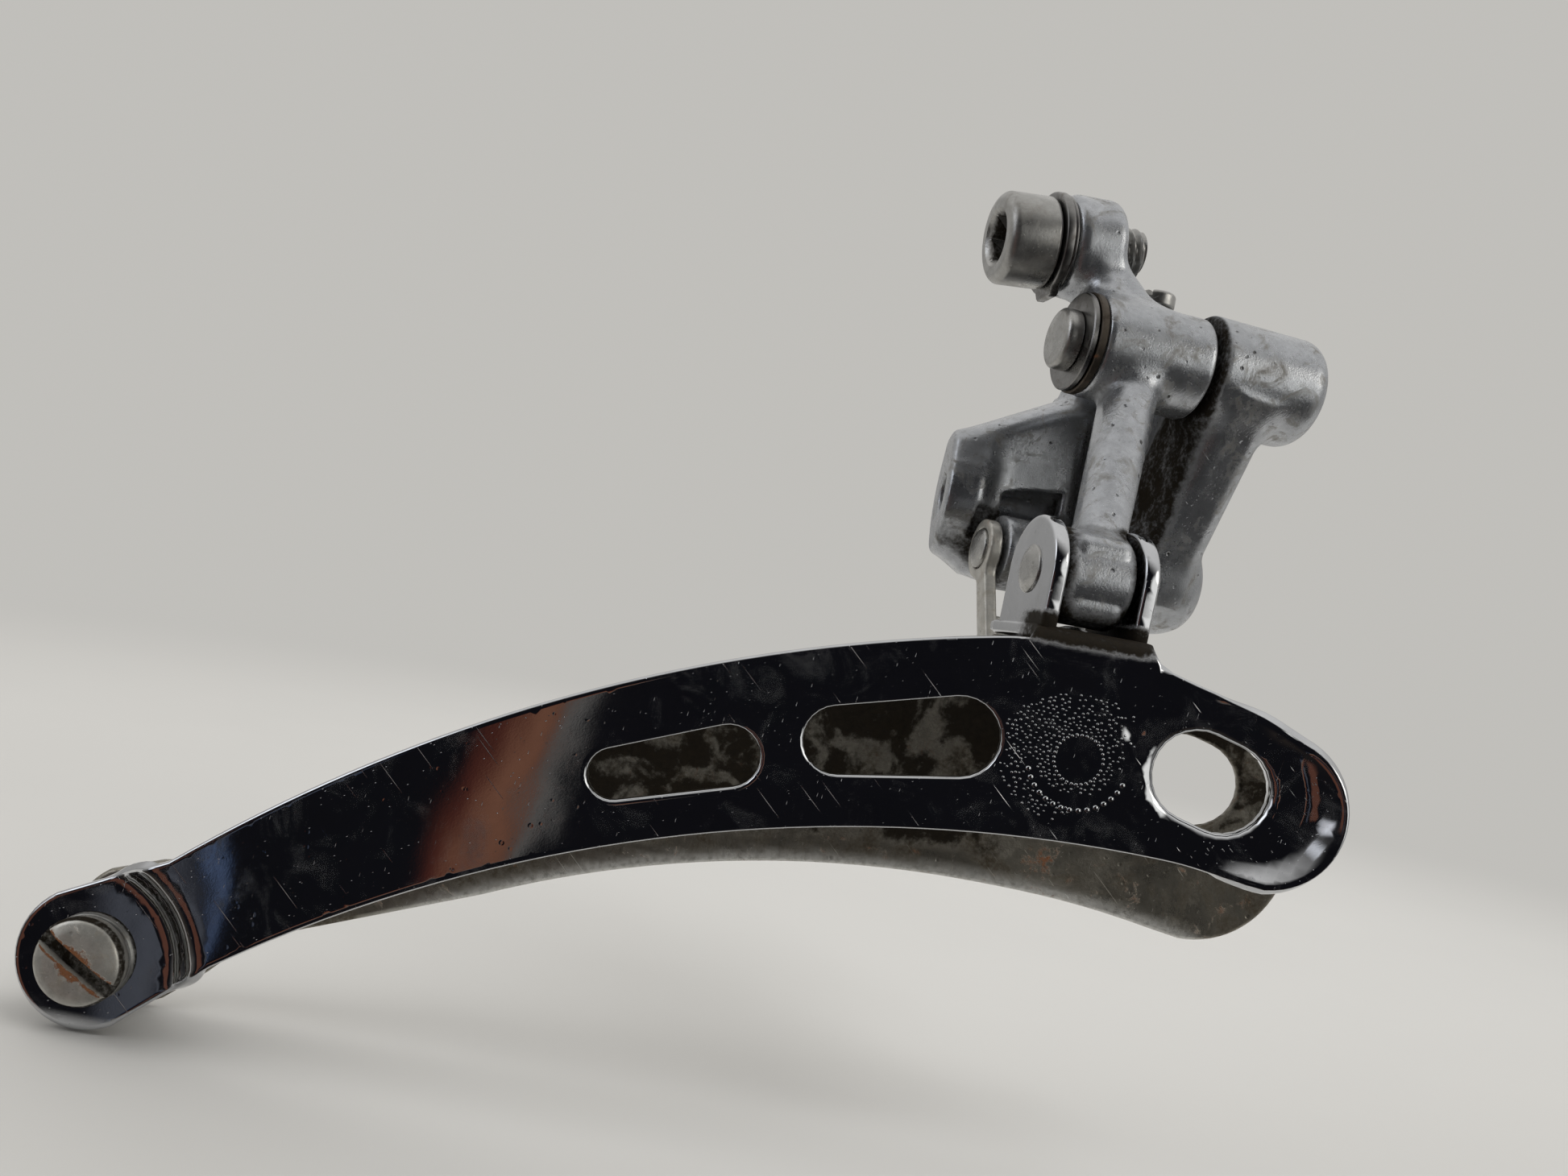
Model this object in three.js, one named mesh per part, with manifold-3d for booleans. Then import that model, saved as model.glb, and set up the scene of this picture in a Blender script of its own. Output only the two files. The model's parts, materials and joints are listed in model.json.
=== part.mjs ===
// Front derailleur for a bicycle, bolt-on (braze-on) pattern, millimetres, +Z up.
//
// +X points forwards along the bicycle, +Y points inboard (towards the wheel), and +Z runs up the seat
// tube. The origin lies on the flat face of the pad that bolts to the frame, beside its bolt hole.
//
// The body carries two parallel arms on skewed pivots. The outer arm is a bell crank: the cable pulls
// its upper end inboard and the cage swings outboard, forwards and up. The inner arm keeps the cage
// level. The cage is two pressed plates joined by a folded bridge in front and a screw at the tail.

import * as THREE from 'three';
import { mergeVertices } from 'three/addons/utils/BufferGeometryUtils.js';
import Module from 'manifold-3d';

const wasm = await Module();
wasm.setup();

// ---------------------------------------------------------------- driving dimensions
// The drawing has its datum on the outer face of the outer cage plate. Points are [x, z] there, and
// [v, z] or [u, z] in the skewed frame of the pivots, where u runs along the pivot axes.
const PAD_POINT = { x: 14, y: 34.9, z: 15 }; // the origin, as a point of the drawing
const SKEW = THREE.MathUtils.degToRad(12); // pivot axes turn inboard towards their front ends

const UPPER_OUTER = { v: 12.8, z: 29.1 }; // outer arm to body
const LOWER_OUTER = { v: 0.8, z: 7.2 }; // outer arm to cage
const UPPER_INNER = { v: 21.0, z: 9.7 }; // inner arm to body
const LOWER_INNER = { // inner arm to cage: closes the parallelogram
  v: UPPER_INNER.v + LOWER_OUTER.v - UPPER_OUTER.v,
  z: UPPER_INNER.z + LOWER_OUTER.z - UPPER_OUTER.z,
};

const PLATE = 1.2; // pressed steel thickness
const GAP = 0.3; // clearance between neighbouring solids
const CAGE_INNER_Y = 11.6; // outboard face of the inner plate
const TOP_EDGE = { x: 41.95, z: -126.7, r: 130.5 }; // the plates' upper edge is an arc
const OUTER_LOWER_EDGE = { x: 29.2, z: -129.4, r: 116.1 };
const INNER_LOWER_EDGE = { x: 20.0, z: -118.2, r: 98.5 };
const OUTER_NOSE = { x: 39.3, z: -8.1, r: 5.7 };
const INNER_NOSE = { x: 39.2, z: -13.4, r: 8.1 };
const OUTER_TAIL = { x: -48.7, z: -36.7, r: 5.7 };
const INNER_TAIL = { x: -48.4, z: -36.5, r: 5.9 };
const OUTER_TAIL_STEP = 2.5; // inboard, from the plate's face to its tail pad
const INNER_TAIL_STEP = -1.8;
const NOSE_FLARE = 2.0; // the outer plate's nose lip turns outboard
const BRIDGE = { x0: 18.4, x1: 29.2, z: 2.9 };
const RIVET_XY = [[21.4, 9.2], [24.6, 9.2]];
const RIVET_HOLE_R = 1.3;

const KNUCKLE = { u0: 26.3, u1: 36.9, r: 4.7 };
const BARREL = { u0: 21.5, u1: 27.3, r: 3.9 };
const ANCHOR = { u: 26.6, v: 18.0, z: 39.35, r: 4.8, u0: -2.6, u1: 2.6 };
const ANCHOR_TILT = THREE.MathUtils.degToRad(-6.4); // its front end is raised
const EAR = { rear: 20.5, front: 28.3, t: 1.3, r: 4.5 };
const CHANNEL = { rear: 23.4, front: 33.6, t: 1.2 }; // mid-planes of the inner arm's two flanges
const LUG = { rear: 22.0, front: 35.1, t: 1.1, r: 3.1 };
const LUG_WINDOW = { top: -8.6, foot: -14.7 }; // the lugs are folded out of it

const OUTER_PIN_R = 2.3;
const INNER_PIN_R = 1.9;
const EAR_PIN_R = 1.9;
const LUG_PIN_R = 1.3;
const LIMIT_SCREW = { r: 1.25, head: 1.8, headLength: 1.6 };
const LOW_SCREW = { u: 35.6, v: 19.6, top: 37.6, length: 6.2 };
const HIGH_SCREW = { u: 33.5, z: 30.6, top: 31.3, length: 9.7 };

const PAD = { y: 32.0, z: 15.1, halfY: 5.4, halfZ: 5.3, corner: 3.0, t: 3.4 };
const PAD_HOLE = { y: 31.2, r: 2.1 };

// ---------------------------------------------------------------- geometry helpers
const ROUND = 28; // sides of a round form

function signedVolume(geometry) {
  const p = geometry.attributes.position;
  const index = geometry.index.array;
  const corner = [0, 1, 2].map(() => new THREE.Vector3());
  let sum = 0;
  for (let i = 0; i < index.length; i += 3) {
    corner.forEach((c, k) => c.fromBufferAttribute(p, index[i + k]));
    sum += corner[0].dot(corner[1].clone().cross(corner[2]));
  }
  return sum / 6;
}

function merged(geometry) {
  geometry.deleteAttribute('normal');
  geometry.deleteAttribute('uv');
  const welded = mergeVertices(geometry, 1e-4);
  if (signedVolume(welded) < 0) {
    const index = welded.index.array;
    for (let i = 0; i < index.length; i += 3) {
      [index[i], index[i + 1]] = [index[i + 1], index[i]];
    }
  }
  return welded;
}

function solid(geometry) {
  const welded = merged(geometry);
  return new wasm.Manifold(new wasm.Mesh({
    numProp: 3,
    vertProperties: new Float32Array(welded.attributes.position.array),
    triVerts: new Uint32Array(welded.index.array),
  }));
}

function geometryOf(body) {
  const { vertProperties, triVerts } = body.getMesh();
  const geometry = new THREE.BufferGeometry();
  geometry.setAttribute('position', new THREE.BufferAttribute(new Float32Array(vertProperties), 3));
  geometry.setIndex(new THREE.BufferAttribute(new Uint32Array(triVerts), 1));
  geometry.computeVertexNormals();
  return geometry;
}

const moved = (body, matrix) => solid(geometryOf(body).applyMatrix4(matrix));
const join = (...bodies) => bodies.reduce((a, b) => a.add(b));
const cut = (body, ...tools) => tools.reduce((a, b) => a.subtract(b), body);

const TURN = { // carries a form made along +Y onto each axis
  x: new THREE.Matrix4().makeRotationZ(-Math.PI / 2),
  y: new THREE.Matrix4(),
  z: new THREE.Matrix4().makeRotationX(Math.PI / 2),
};

// A turned form about an axis through (at), from [along, radius] steps that start and end on the axis.
function turned(axis, steps, at, sides = ROUND) {
  const profile = steps.map(([along, radius]) => new THREE.Vector2(radius, along));
  const geometry = new THREE.LatheGeometry(profile, sides);
  geometry.applyMatrix4(TURN[axis]).translate(...at);
  return solid(geometry);
}

function rod(axis, from, to, radius, at, sides = ROUND) {
  return turned(axis, [[from, 0], [from, radius], [to, radius], [to, 0]], at, sides);
}

const along = (u, { v, z }) => [u, v, z];

// A ring that closes on itself, for washers.
function ring(axis, from, to, inner, outer, at) {
  return cut(rod(axis, from, to, outer, at), rod(axis, from - 1, to + 1, inner, at));
}

// A flat outline pushed along an axis. Its points are [y, z] for x, [x, z] for y and [x, y] for z.
function pushed(axis, points, from, to, holes = []) {
  const toVectors = (list) => list.map(([a, b]) => new THREE.Vector2(a, b));
  const shape = new THREE.Shape(toVectors(points));
  shape.holes = holes.map((hole) => new THREE.Path(toVectors(hole)));
  const geometry = new THREE.ExtrudeGeometry(shape, { depth: to - from, bevelEnabled: false });
  const [x, y, z] = [[1, 0, 0], [0, 1, 0], [0, 0, 1]].map((e) => new THREE.Vector3(...e));
  if (axis === 'x') {
    geometry.translate(0, 0, from).applyMatrix4(new THREE.Matrix4().makeBasis(y, z, x));
  } else if (axis === 'y') {
    geometry.translate(0, 0, -to).applyMatrix4(new THREE.Matrix4().makeBasis(x, z, y.negate()));
  } else {
    geometry.translate(0, 0, from);
  }
  return solid(geometry);
}

function box(low, high) {
  const size = high.map((h, i) => h - low[i]);
  const geometry = new THREE.BoxGeometry(...size);
  geometry.translate(...low.map((l, i) => l + size[i] / 2));
  return solid(geometry);
}

function arc(centre, radius, fromDegrees, toDegrees, steps) {
  const points = [];
  for (let i = 0; i <= steps; i += 1) {
    const angle = THREE.MathUtils.degToRad(fromDegrees + (toDegrees - fromDegrees) * i / steps);
    points.push([centre[0] + radius * Math.cos(angle), centre[1] + radius * Math.sin(angle)]);
  }
  return points;
}

// The outline round two circles and their outer tangents.
function capsule(a, ra, b, rb, steps = 10) {
  const axis = THREE.MathUtils.radToDeg(Math.atan2(b[1] - a[1], b[0] - a[0]));
  const spread = THREE.MathUtils.radToDeg(Math.acos((ra - rb) / Math.hypot(b[0] - a[0], b[1] - a[1])));
  return [
    ...arc(a, ra, axis + spread, axis + 360 - spread, steps),
    ...arc(b, rb, axis - spread, axis + spread, steps),
  ];
}

// Points on the upper half of a large circle between two x values.
function edge({ x, z, r }, from, to, steps, lift = 0) {
  const points = [];
  for (let i = 0; i <= steps; i += 1) {
    const px = from + (to - from) * i / steps;
    points.push([px, z + lift + Math.sqrt(r * r - (px - x) ** 2)]);
  }
  return points;
}

const smooth = (t) => THREE.MathUtils.smoothstep(t, 0, 1);

function steps(from, to, pitch) {
  const count = Math.max(1, Math.round((to - from) / pitch));
  return Array.from({ length: count + 1 }, (_, i) => from + (to - from) * i / count);
}

// A sheet whose depth y follows a function of x and z, trimmed to an outline with holes.
function sheet(outline, holes, depth, xs, zs) {
  const position = [];
  const index = [];
  const rows = zs.length;
  const at = (side, i, j) => side * xs.length * rows + i * rows + j;
  for (const side of [0, 1]) {
    for (const x of xs) {
      for (const z of zs) {
        position.push(x, depth(x, z) + side * PLATE, z);
      }
    }
  }
  const quad = (a, b, c, d) => index.push(a, b, c, a, c, d);
  for (let i = 0; i + 1 < xs.length; i += 1) {
    for (let j = 0; j + 1 < rows; j += 1) {
      quad(at(0, i, j), at(0, i + 1, j), at(0, i + 1, j + 1), at(0, i, j + 1));
      quad(at(1, i, j), at(1, i, j + 1), at(1, i + 1, j + 1), at(1, i + 1, j));
    }
  }
  const lastX = xs.length - 1;
  const lastZ = rows - 1;
  for (let i = 0; i < lastX; i += 1) {
    quad(at(0, i, 0), at(1, i, 0), at(1, i + 1, 0), at(0, i + 1, 0));
    quad(at(0, i, lastZ), at(0, i + 1, lastZ), at(1, i + 1, lastZ), at(1, i, lastZ));
  }
  for (let j = 0; j < lastZ; j += 1) {
    quad(at(0, 0, j), at(0, 0, j + 1), at(1, 0, j + 1), at(1, 0, j));
    quad(at(0, lastX, j), at(1, lastX, j), at(1, lastX, j + 1), at(0, lastX, j + 1));
  }
  const geometry = new THREE.BufferGeometry();
  geometry.setAttribute('position', new THREE.Float32BufferAttribute(position, 3));
  geometry.setIndex(index);
  const reach = 12;
  return solid(geometry).intersect(pushed('y', outline, -reach, CAGE_INNER_Y + reach, holes));
}

// A coil about +X with round wire, from one end at (from).
function coil(radius, wire, turns, pitch, from, at, perTurn = 16) {
  class Helix extends THREE.Curve {
    getPoint(t, target = new THREE.Vector3()) {
      const angle = t * turns * 2 * Math.PI;
      return target.set(from + t * turns * pitch, radius * Math.cos(angle), radius * Math.sin(angle));
    }
  }
  const hexagon = arc([0, 0], wire, 0, 300, 5);
  const section = new THREE.Shape(hexagon.map(([a, b]) => new THREE.Vector2(a, b)));
  const path = { extrudePath: new Helix(), steps: Math.round(turns * perTurn), bevelEnabled: false };
  return solid(new THREE.ExtrudeGeometry(section, path).translate(...at));
}

const skewed = (body) => moved(body, new THREE.Matrix4().makeRotationZ(SKEW));

// ---------------------------------------------------------------- materials
function finish(color, roughness, metalness) {
  return new THREE.MeshStandardMaterial({ color, roughness, metalness });
}

const CHROME = finish(0x8a8c90, 0.08, 1);
const GREASY_STEEL = finish(0x77736a, 0.4, 0.9);
const CAST_ALUMINIUM = finish(0xa9adb3, 0.38, 0.9);
const BOLT_STEEL = finish(0x85837e, 0.3, 1);
const RUSTY_STEEL = finish(0x6b4a34, 0.7, 0.6);
const SPRING_STEEL = finish(0x5c5e62, 0.35, 1);

// ---------------------------------------------------------------- cage
function screwHole(centre, radius) {
  return arc([centre.x, centre.z], radius, 0, 348, 24);
}

const rivetHoles = () => RIVET_XY.map(([x, y]) => rod('z', -3, 4, RIVET_HOLE_R, [x, y, 0], 16));

function noseOf(nose, from, to, count) {
  return arc([nose.x, nose.z], nose.r, from, to, count);
}

// Each tail pad is set towards the other plate by a ramp that bends round its screw.
function tailStep(tail, x, z, amount) {
  const ramp = { inner: 6.6, outer: 10.2 };
  const away = Math.hypot(Math.max(0, x - tail.x), Math.max(0, z - tail.z));
  return amount * (1 - smooth((away - ramp.inner) / (ramp.outer - ramp.inner)));
}

function outerDepth(x, z) {
  const lip = Math.hypot(x - 37.6, z + 7.6);
  const rim = smooth((lip - 4.9) / 2.6) * smooth((x - 30.5) / 6.5);
  return tailStep(OUTER_TAIL, x, z, OUTER_TAIL_STEP) - NOSE_FLARE * rim;
}

function innerDepth(x, z) {
  return CAGE_INNER_Y + tailStep(INNER_TAIL, x, z, INNER_TAIL_STEP);
}

const NOSE_HOLE = capsule([34.0, -6.5], 3.5, [36.2, -7.1], 3.5, 10);
const INNER_NOSE_HOLE = capsule([36.4, -7.6], 3.7, [37.9, -8.0], 3.7, 10);
const REAR_SLOT = capsule([-10.3, -14.5], 2.0, [-1.8, -11.5], 2.4, 8);
const FRONT_SLOT = capsule([6.2, -8.8], 2.65, [15.4, -6.8], 3.1, 8);

function outerPlate() {
  const tail = [OUTER_TAIL.x, OUTER_TAIL.z];
  const outline = [
    ...edge(OUTER_LOWER_EDGE, -38, 39.8, 22),
    ...noseOf(OUTER_NOSE, -84, 72, 14),
    [34.0, 0.1],
    [30.4, 1.0],
    [29.4, 1.5],
    [28.9, BRIDGE.z],
    [20.0, BRIDGE.z],
    [19.6, 1.9],
    ...edge(TOP_EDGE, BRIDGE.x0, -42.6, 18),
    ...arc(tail, OUTER_TAIL.r, 125, 300, 12),
  ];
  const xs = [-56, ...steps(-46, -35.5, 1.3), ...steps(30.5, 46.5, 1.35)];
  const zs = [-44, ...steps(-43, -26, 1.3), ...steps(-15, 2, 1.3), 4];
  const holes = [NOSE_HOLE, REAR_SLOT, FRONT_SLOT, screwHole(OUTER_TAIL, 2.4)];
  const lean = Math.tan(SKEW); // the bridge's sides follow the ears
  const plan = [
    [20.2, 0.3],
    [28.9, 0.3],
    [BRIDGE.x1, 2.0],
    [BRIDGE.x1 - lean * 8.5, CAGE_INNER_Y - GAP],
    [BRIDGE.x0 - lean * 2, CAGE_INNER_Y - GAP],
    [BRIDGE.x0 + 0.4, 6.0],
  ];
  const bridge = pushed('z', plan, BRIDGE.z - PLATE, BRIDGE.z);
  const { v, z } = LOWER_OUTER;
  const root = BRIDGE.z - 0.8;
  const earOutline = [[v - 4.2, root], [v + 4.6, root], ...arc([v, z], EAR.r, 0, 180, 12)];
  const ears = [EAR.rear, EAR.front].map((u) => pushed('x', earOutline, u - EAR.t / 2, u + EAR.t / 2));
  const pinHole = skewed(rod('x', 15, 38, EAR_PIN_R + GAP, along(0, LOWER_OUTER), 20));
  const body = join(sheet(outline, holes, outerDepth, xs, zs), bridge, ...ears.map(skewed));
  return cut(body, pinHole, ...rivetHoles());
}

function innerPlate() {
  const outline = [
    ...edge(INNER_LOWER_EDGE, -20.9, 36.5, 14),
    ...noseOf(INNER_NOSE, -90, 8, 9),
    [46.8, -8.4],
    [44.6, -5.2],
    [41.0, -3.0],
    [33.0, 0.9],
    [29.0, 1.6],
    [18.6, 1.6],
    [17.8, 0.9],
    ...edge(TOP_EDGE, 16, -42.6, 16, -1.0),
    ...arc([INNER_TAIL.x, INNER_TAIL.z], INNER_TAIL.r, 125, 300, 12),
    [-38.2, -35.4],
  ];
  const xs = [-56, ...steps(-46, -35.5, 1.3), 49];
  const zs = [-44, ...steps(-43, -26, 1.3), 4];
  const { top: sill, foot: floor } = LUG_WINDOW;
  const window = [[20.4, floor], [30.8, floor], [30.8, sill], [20.4, sill]];
  const holes = [INNER_NOSE_HOLE, window, screwHole(INNER_TAIL, 2.9)];
  const flangeTop = BRIDGE.z - PLATE - GAP;
  const flange = box([18.8, 6.8, flangeTop - PLATE], [28.0, CAGE_INNER_Y + 0.6, flangeTop]);
  const face = CAGE_INNER_Y / Math.cos(SKEW);
  const lugs = [LUG.rear, LUG.front].map((u) => {
    const foot = face - u * Math.tan(SKEW) + 0.4; // where the plate crosses this lug
    const { v, z } = LOWER_INNER;
    const eye = [[foot, LUG_WINDOW.foot], ...arc([v, z], LUG.r, -90, 90, 8), [foot, LUG_WINDOW.top]];
    return skewed(pushed('x', eye, u - LUG.t / 2, u + LUG.t / 2));
  });
  const pinHole = skewed(join(
    rod('x', LUG.rear - 1.8, 40, LUG_PIN_R + GAP, along(0, LOWER_INNER), 20),
    rod('x', LUG.rear - 1.8, LUG.rear - LUG.t / 2, 2.3, along(0, LOWER_INNER), 20),
  ));
  const body = join(sheet(outline, holes, innerDepth, xs, zs), flange, ...lugs);
  return cut(body, pinHole, ...rivetHoles());
}

function cageRivet([x, y]) {
  const top = BRIDGE.z + 0.25;
  const under = BRIDGE.z - 2 * PLATE - GAP - 0.25;
  const profile = [[0, 0], [0, 1.1], [0.3, 1.5], [0.5, 1.5], [0.5, 1.0]];
  const low = profile.map(([a, r]) => [under - 0.5 + a, r]);
  const high = profile.slice(1).map(([a, r]) => [top + 0.5 - a, r]).reverse();
  return turned('z', [...low, ...high, [top + 0.5, 0]], [x, y, 0], 18);
}

function tailSpacer() {
  const outerPad = OUTER_TAIL_STEP + PLATE + GAP;
  const innerPad = CAGE_INNER_Y + INNER_TAIL_STEP - GAP;
  const at = [(OUTER_TAIL.x + INNER_TAIL.x) / 2, 0, (OUTER_TAIL.z + INNER_TAIL.z) / 2];
  const head = innerPad + PLATE + 2 * GAP;
  const profile = [[outerPad, 0], [outerPad, 4.2], [innerPad, 4.2], [innerPad, 2.55], [head, 2.55],
    [head, 3.4], [head + 0.5, 3.0], [head + 0.8, 0]];
  const shell = turned('y', profile, at, 24);
  return cut(shell, rod('y', outerPad - 1, innerPad + 1, 2.3, [OUTER_TAIL.x, 0, OUTER_TAIL.z], 20));
}

function tailScrew() {
  const seat = OUTER_TAIL_STEP - 0.25;
  const at = [OUTER_TAIL.x, 0, OUTER_TAIL.z];
  const head = 3.55;
  const top = seat - 1.6;
  const end = CAGE_INNER_Y + INNER_TAIL_STEP;
  const profile = [[end, 0], [end, 2.0], [seat, 2.0], [seat, head], [top + 0.4, head], [top, head - 0.5],
    [top, 0]];
  const slot = box([-5, top - 1, -0.55], [5, top + 0.8, 0.55]);
  const turn = new THREE.Matrix4().makeRotationY(THREE.MathUtils.degToRad(31)).setPosition(...at);
  return cut(turned('y', profile, at, 24), moved(slot, turn));
}

// ---------------------------------------------------------------- arms
function outerArm() {
  const top = [UPPER_OUTER.v, UPPER_OUTER.z];
  const low = [LOWER_OUTER.v, LOWER_OUTER.z];
  const anchor = [ANCHOR.v, ANCHOR.z];
  const limbFront = [[27.6, 30], [34.2, 30], [32.4, 23], [29.0, 13.6], [27.2, 11.4], [27.2, 6],
    [22.6, 6], [24.1, 12], [27.1, 23]];
  const limb = pushed('x', capsule(top, 3.0, low, 2.7), 20, 40).intersect(
    pushed('y', limbFront, -10, 30),
  );
  const neckFront = [[26.4, 28], [35.0, 28], [33.4, 32.6], [29.3, 38.5], [29.0, 41], [24.2, 41], [24.2, 37],
    [26.4, 34.2]];
  const neck = pushed('x', capsule(top, 3.0, anchor, 3.0), 20, 40).intersect(
    pushed('y', neckFront, 0, 40),
  );
  const tilt = new THREE.Matrix4().makeRotationY(ANCHOR_TILT);
  tilt.setPosition(ANCHOR.u, ANCHOR.v, ANCHOR.z);
  const { u0, u1, r } = ANCHOR;
  const eyeSteps = [[u0, 0], [u0, r], [u1 - 0.8, r], [u1, r - 0.8], [u1, 0]];
  const eye = moved(turned('x', eyeSteps, [0, 0, 0]), tilt);
  const eyeBore = moved(rod('x', -8, 8, 2.8, [0, 0, 0], 20), tilt);
  const knuckle = rod('x', KNUCKLE.u0, KNUCKLE.u1, KNUCKLE.r, along(0, UPPER_OUTER));
  const barrel = rod('x', BARREL.u0, BARREL.u1, BARREL.r, along(0, LOWER_OUTER));
  const lug = box([34.95, UPPER_OUTER.v, 27.4], [36.9, 22.0, 31.0]); // meets the limit screws
  const springPocket = rod('x', 30.4, 60, 3.9, along(0, UPPER_OUTER));
  return cut(
    join(limb, neck, eye, knuckle, barrel, lug),
    eyeBore,
    springPocket,
    rod('x', 20, 60, OUTER_PIN_R + GAP, along(0, UPPER_OUTER)),
    rod('x', 15, 40, EAR_PIN_R + GAP, along(0, LOWER_OUTER), 20),
  );
}

function innerArm() {
  const top = [UPPER_INNER.v, UPPER_INNER.z];
  const low = [LOWER_INNER.v, LOWER_INNER.z];
  const forms = [capsule(top, 1.3, low, 1.2), arc(top, 2.9, 0, 345, 23), arc(low, 2.3, 0, 340, 17)];
  const flanges = [CHANNEL.rear, CHANNEL.front].flatMap(
    (u) => forms.map((outline) => pushed('x', outline, u - CHANNEL.t / 2, u + CHANNEL.t / 2)),
  );
  const reach = new THREE.Vector2(low[0] - top[0], low[1] - top[1]);
  const length = reach.length();
  reach.normalize();
  const side = new THREE.Vector2(-reach.y, reach.x); // towards the wheel
  const place = (s, t) => [top[0] + reach.x * s + side.x * t, top[1] + reach.y * s + side.y * t];
  const web = [place(7, 0.1), place(7, 1.3), place(length - 4, 1.2), place(length - 4, 0.0)];
  return cut(
    join(...flanges, pushed('x', web, CHANNEL.rear, CHANNEL.front)),
    rod('x', 15, 40, INNER_PIN_R + GAP, along(0, UPPER_INNER), 20),
    rod('x', 15, 40, LUG_PIN_R + GAP, along(0, LOWER_INNER), 20),
  );
}

// ---------------------------------------------------------------- body
function roundedPad() {
  const { corner: r } = PAD;
  const [dy, dz] = [PAD.halfY - r, PAD.halfZ - r];
  return [[dy, -dz, -90], [dy, dz, 0], [-dy, dz, 90], [-dy, -dz, 180]].flatMap(
    ([y, z, from]) => arc([PAD.y + y, PAD.z + z], r, from, from + 90, 5),
  );
}

function bracketBody() {
  const boss = turned('x', [[37.6, 0], [37.6, 5.4], [45.6, 5.2], [47.6, 4.2], [48.6, 2.0], [48.7, 0]],
    along(0, UPPER_OUTER));
  const upper = [UPPER_OUTER.v, UPPER_OUTER.z];
  const lower = [UPPER_INNER.v, UPPER_INNER.z];
  const strutFront = [[38.0, 34], [45.4, 34], [45.0, 25], [43.9, 18], [44.2, 12], [43.4, 4], [35.0, 4],
    [36.6, 14], [38.2, 24]];
  const strut = pushed('x', capsule(upper, 5.2, lower, 5.0), 35, 46.5).intersect(
    pushed('y', strutFront, 0, 40),
  );
  const footSteps = [[34.7, 0], [34.7, 4.6], [42.6, 5.0], [44.4, 3.6], [45.0, 0]];
  const foot = turned('x', footSteps, along(0, UPPER_INNER));
  const sideFace = [[12.8, 33.6], [26, 34.2], [31.2, 31], [31.2, 6.5], [26, 4.9], [21, 5.2], [19, 12],
    [14.5, 24]];
  const sideWall = pushed('x', sideFace, 38.6, 43.0);
  const wallFace = [[20.8, 9.6], [24.0, 7.4], [41.0, 5.0], [43.4, 8], [44.2, 24], [43.6, 32.0],
    [38.4, 34.6], [31.4, 34.0], [31.0, 26.6], [20.2, 20.6], [19.6, 12.0]];
  const wall = pushed('y', wallFace, 26.4, 31.2);
  const highTab = box([31.4, 25.0, 24], [36.0, 27.0, 34.0]);
  const backRelief = box([30.0, 28.4, 27.6], [36.4, 40, 40]);
  const innerBoss = join(
    rod('x', 24.4, 32.6, 3.6, along(0, UPPER_INNER)),
    box([24.4, UPPER_INNER.v, UPPER_INNER.z - 2.4], [32.6, 27.5, UPPER_INNER.z + 2.4]),
  );
  const shelf = box([34.2, 17.4, 32.2], [41.0, 28.0, 34.6]);
  const rib = pushed('y', [[35.6, 14], [39.6, 14], [39.6, 34.4], [36.6, 34.4]], 23.4, 27.5);
  const pad = pushed('x', roundedPad(), PAD_POINT.x, PAD_POINT.x + PAD.t);
  const padHole = rod('x', PAD_POINT.x - 1, PAD_POINT.x + 12, PAD_HOLE.r, [0, PAD_HOLE.y, PAD_POINT.z], 20);
  const frame = cut(join(boss, strut, foot, sideWall, wall, highTab, innerBoss, shelf, rib), backRelief);
  return cut(
    join(skewed(frame), pad),
    padHole,
    skewed(join(
      rod('x', 36, 45.9, OUTER_PIN_R + GAP, along(0, UPPER_OUTER)),
      rod('x', 20, 42.6, INNER_PIN_R + GAP, along(0, UPPER_INNER), 20),
    )),
    skewed(rod('z', 20, 50, LIMIT_SCREW.r + GAP, [LOW_SCREW.u, LOW_SCREW.v, 0], 16)),
    skewed(rod('y', 20, 40, LIMIT_SCREW.r + GAP, [HIGH_SCREW.u, 0, HIGH_SCREW.z], 16)),
  );
}

// ---------------------------------------------------------------- pins, screws and springs
function outerPivotPin() {
  const profile = [[23.2, 0], [23.2, 2.2], [23.6, 2.75], [24.65, 2.75], [24.65, OUTER_PIN_R],
    [45.6, OUTER_PIN_R], [45.6, 0]];
  return turned('x', profile, along(0, UPPER_OUTER));
}

function plainPin(head, headRadius, headLength, end, radius, at) {
  const shoulder = head + headLength;
  const profile = [[head, 0], [head, headRadius - 0.3], [head + 0.3, headRadius], [shoulder, headRadius],
    [shoulder, radius], [end, radius], [end, 0]];
  return turned('x', profile, at, 20);
}

function rivetedPin(from, to, radius, headRadius, at) {
  const profile = [[from, 0], [from, headRadius - 0.4], [from + 0.4, headRadius], [from + 0.7, headRadius],
    [from + 0.7, radius], [to - 0.7, radius], [to - 0.7, headRadius], [to - 0.4, headRadius],
    [to, headRadius - 0.4], [to, 0]];
  return turned('x', profile, at, 20);
}

function limitScrew(length) {
  const { r, head, headLength } = LIMIT_SCREW;
  const profile = [[0, 0], [0, head - 0.3], [0.3, head], [headLength, head], [headLength, r], [length, r],
    [length, 0]];
  const slot = box([-1, -3, -0.35], [0.8, 3, 0.35]);
  return cut(turned('x', profile, [0, 0, 0], 20), slot);
}

const lockSpring = () => coil(1.6, 0.2, 1.25, 0.7, 0, [0, 0, 0], 12);

function anchorBolt() {
  const profile = [[-9.0, 0], [-9.0, 3.9], [-8.6, 4.25], [-4.1, 4.25], [-4.1, 2.45], [5.3, 2.45], [5.3, 0]];
  const socket = rod('x', -10, -6.4, 4 / Math.sqrt(3), [0, 0, 0], 6);
  return cut(turned('x', profile, [0, 0, 0]), socket);
}

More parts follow.
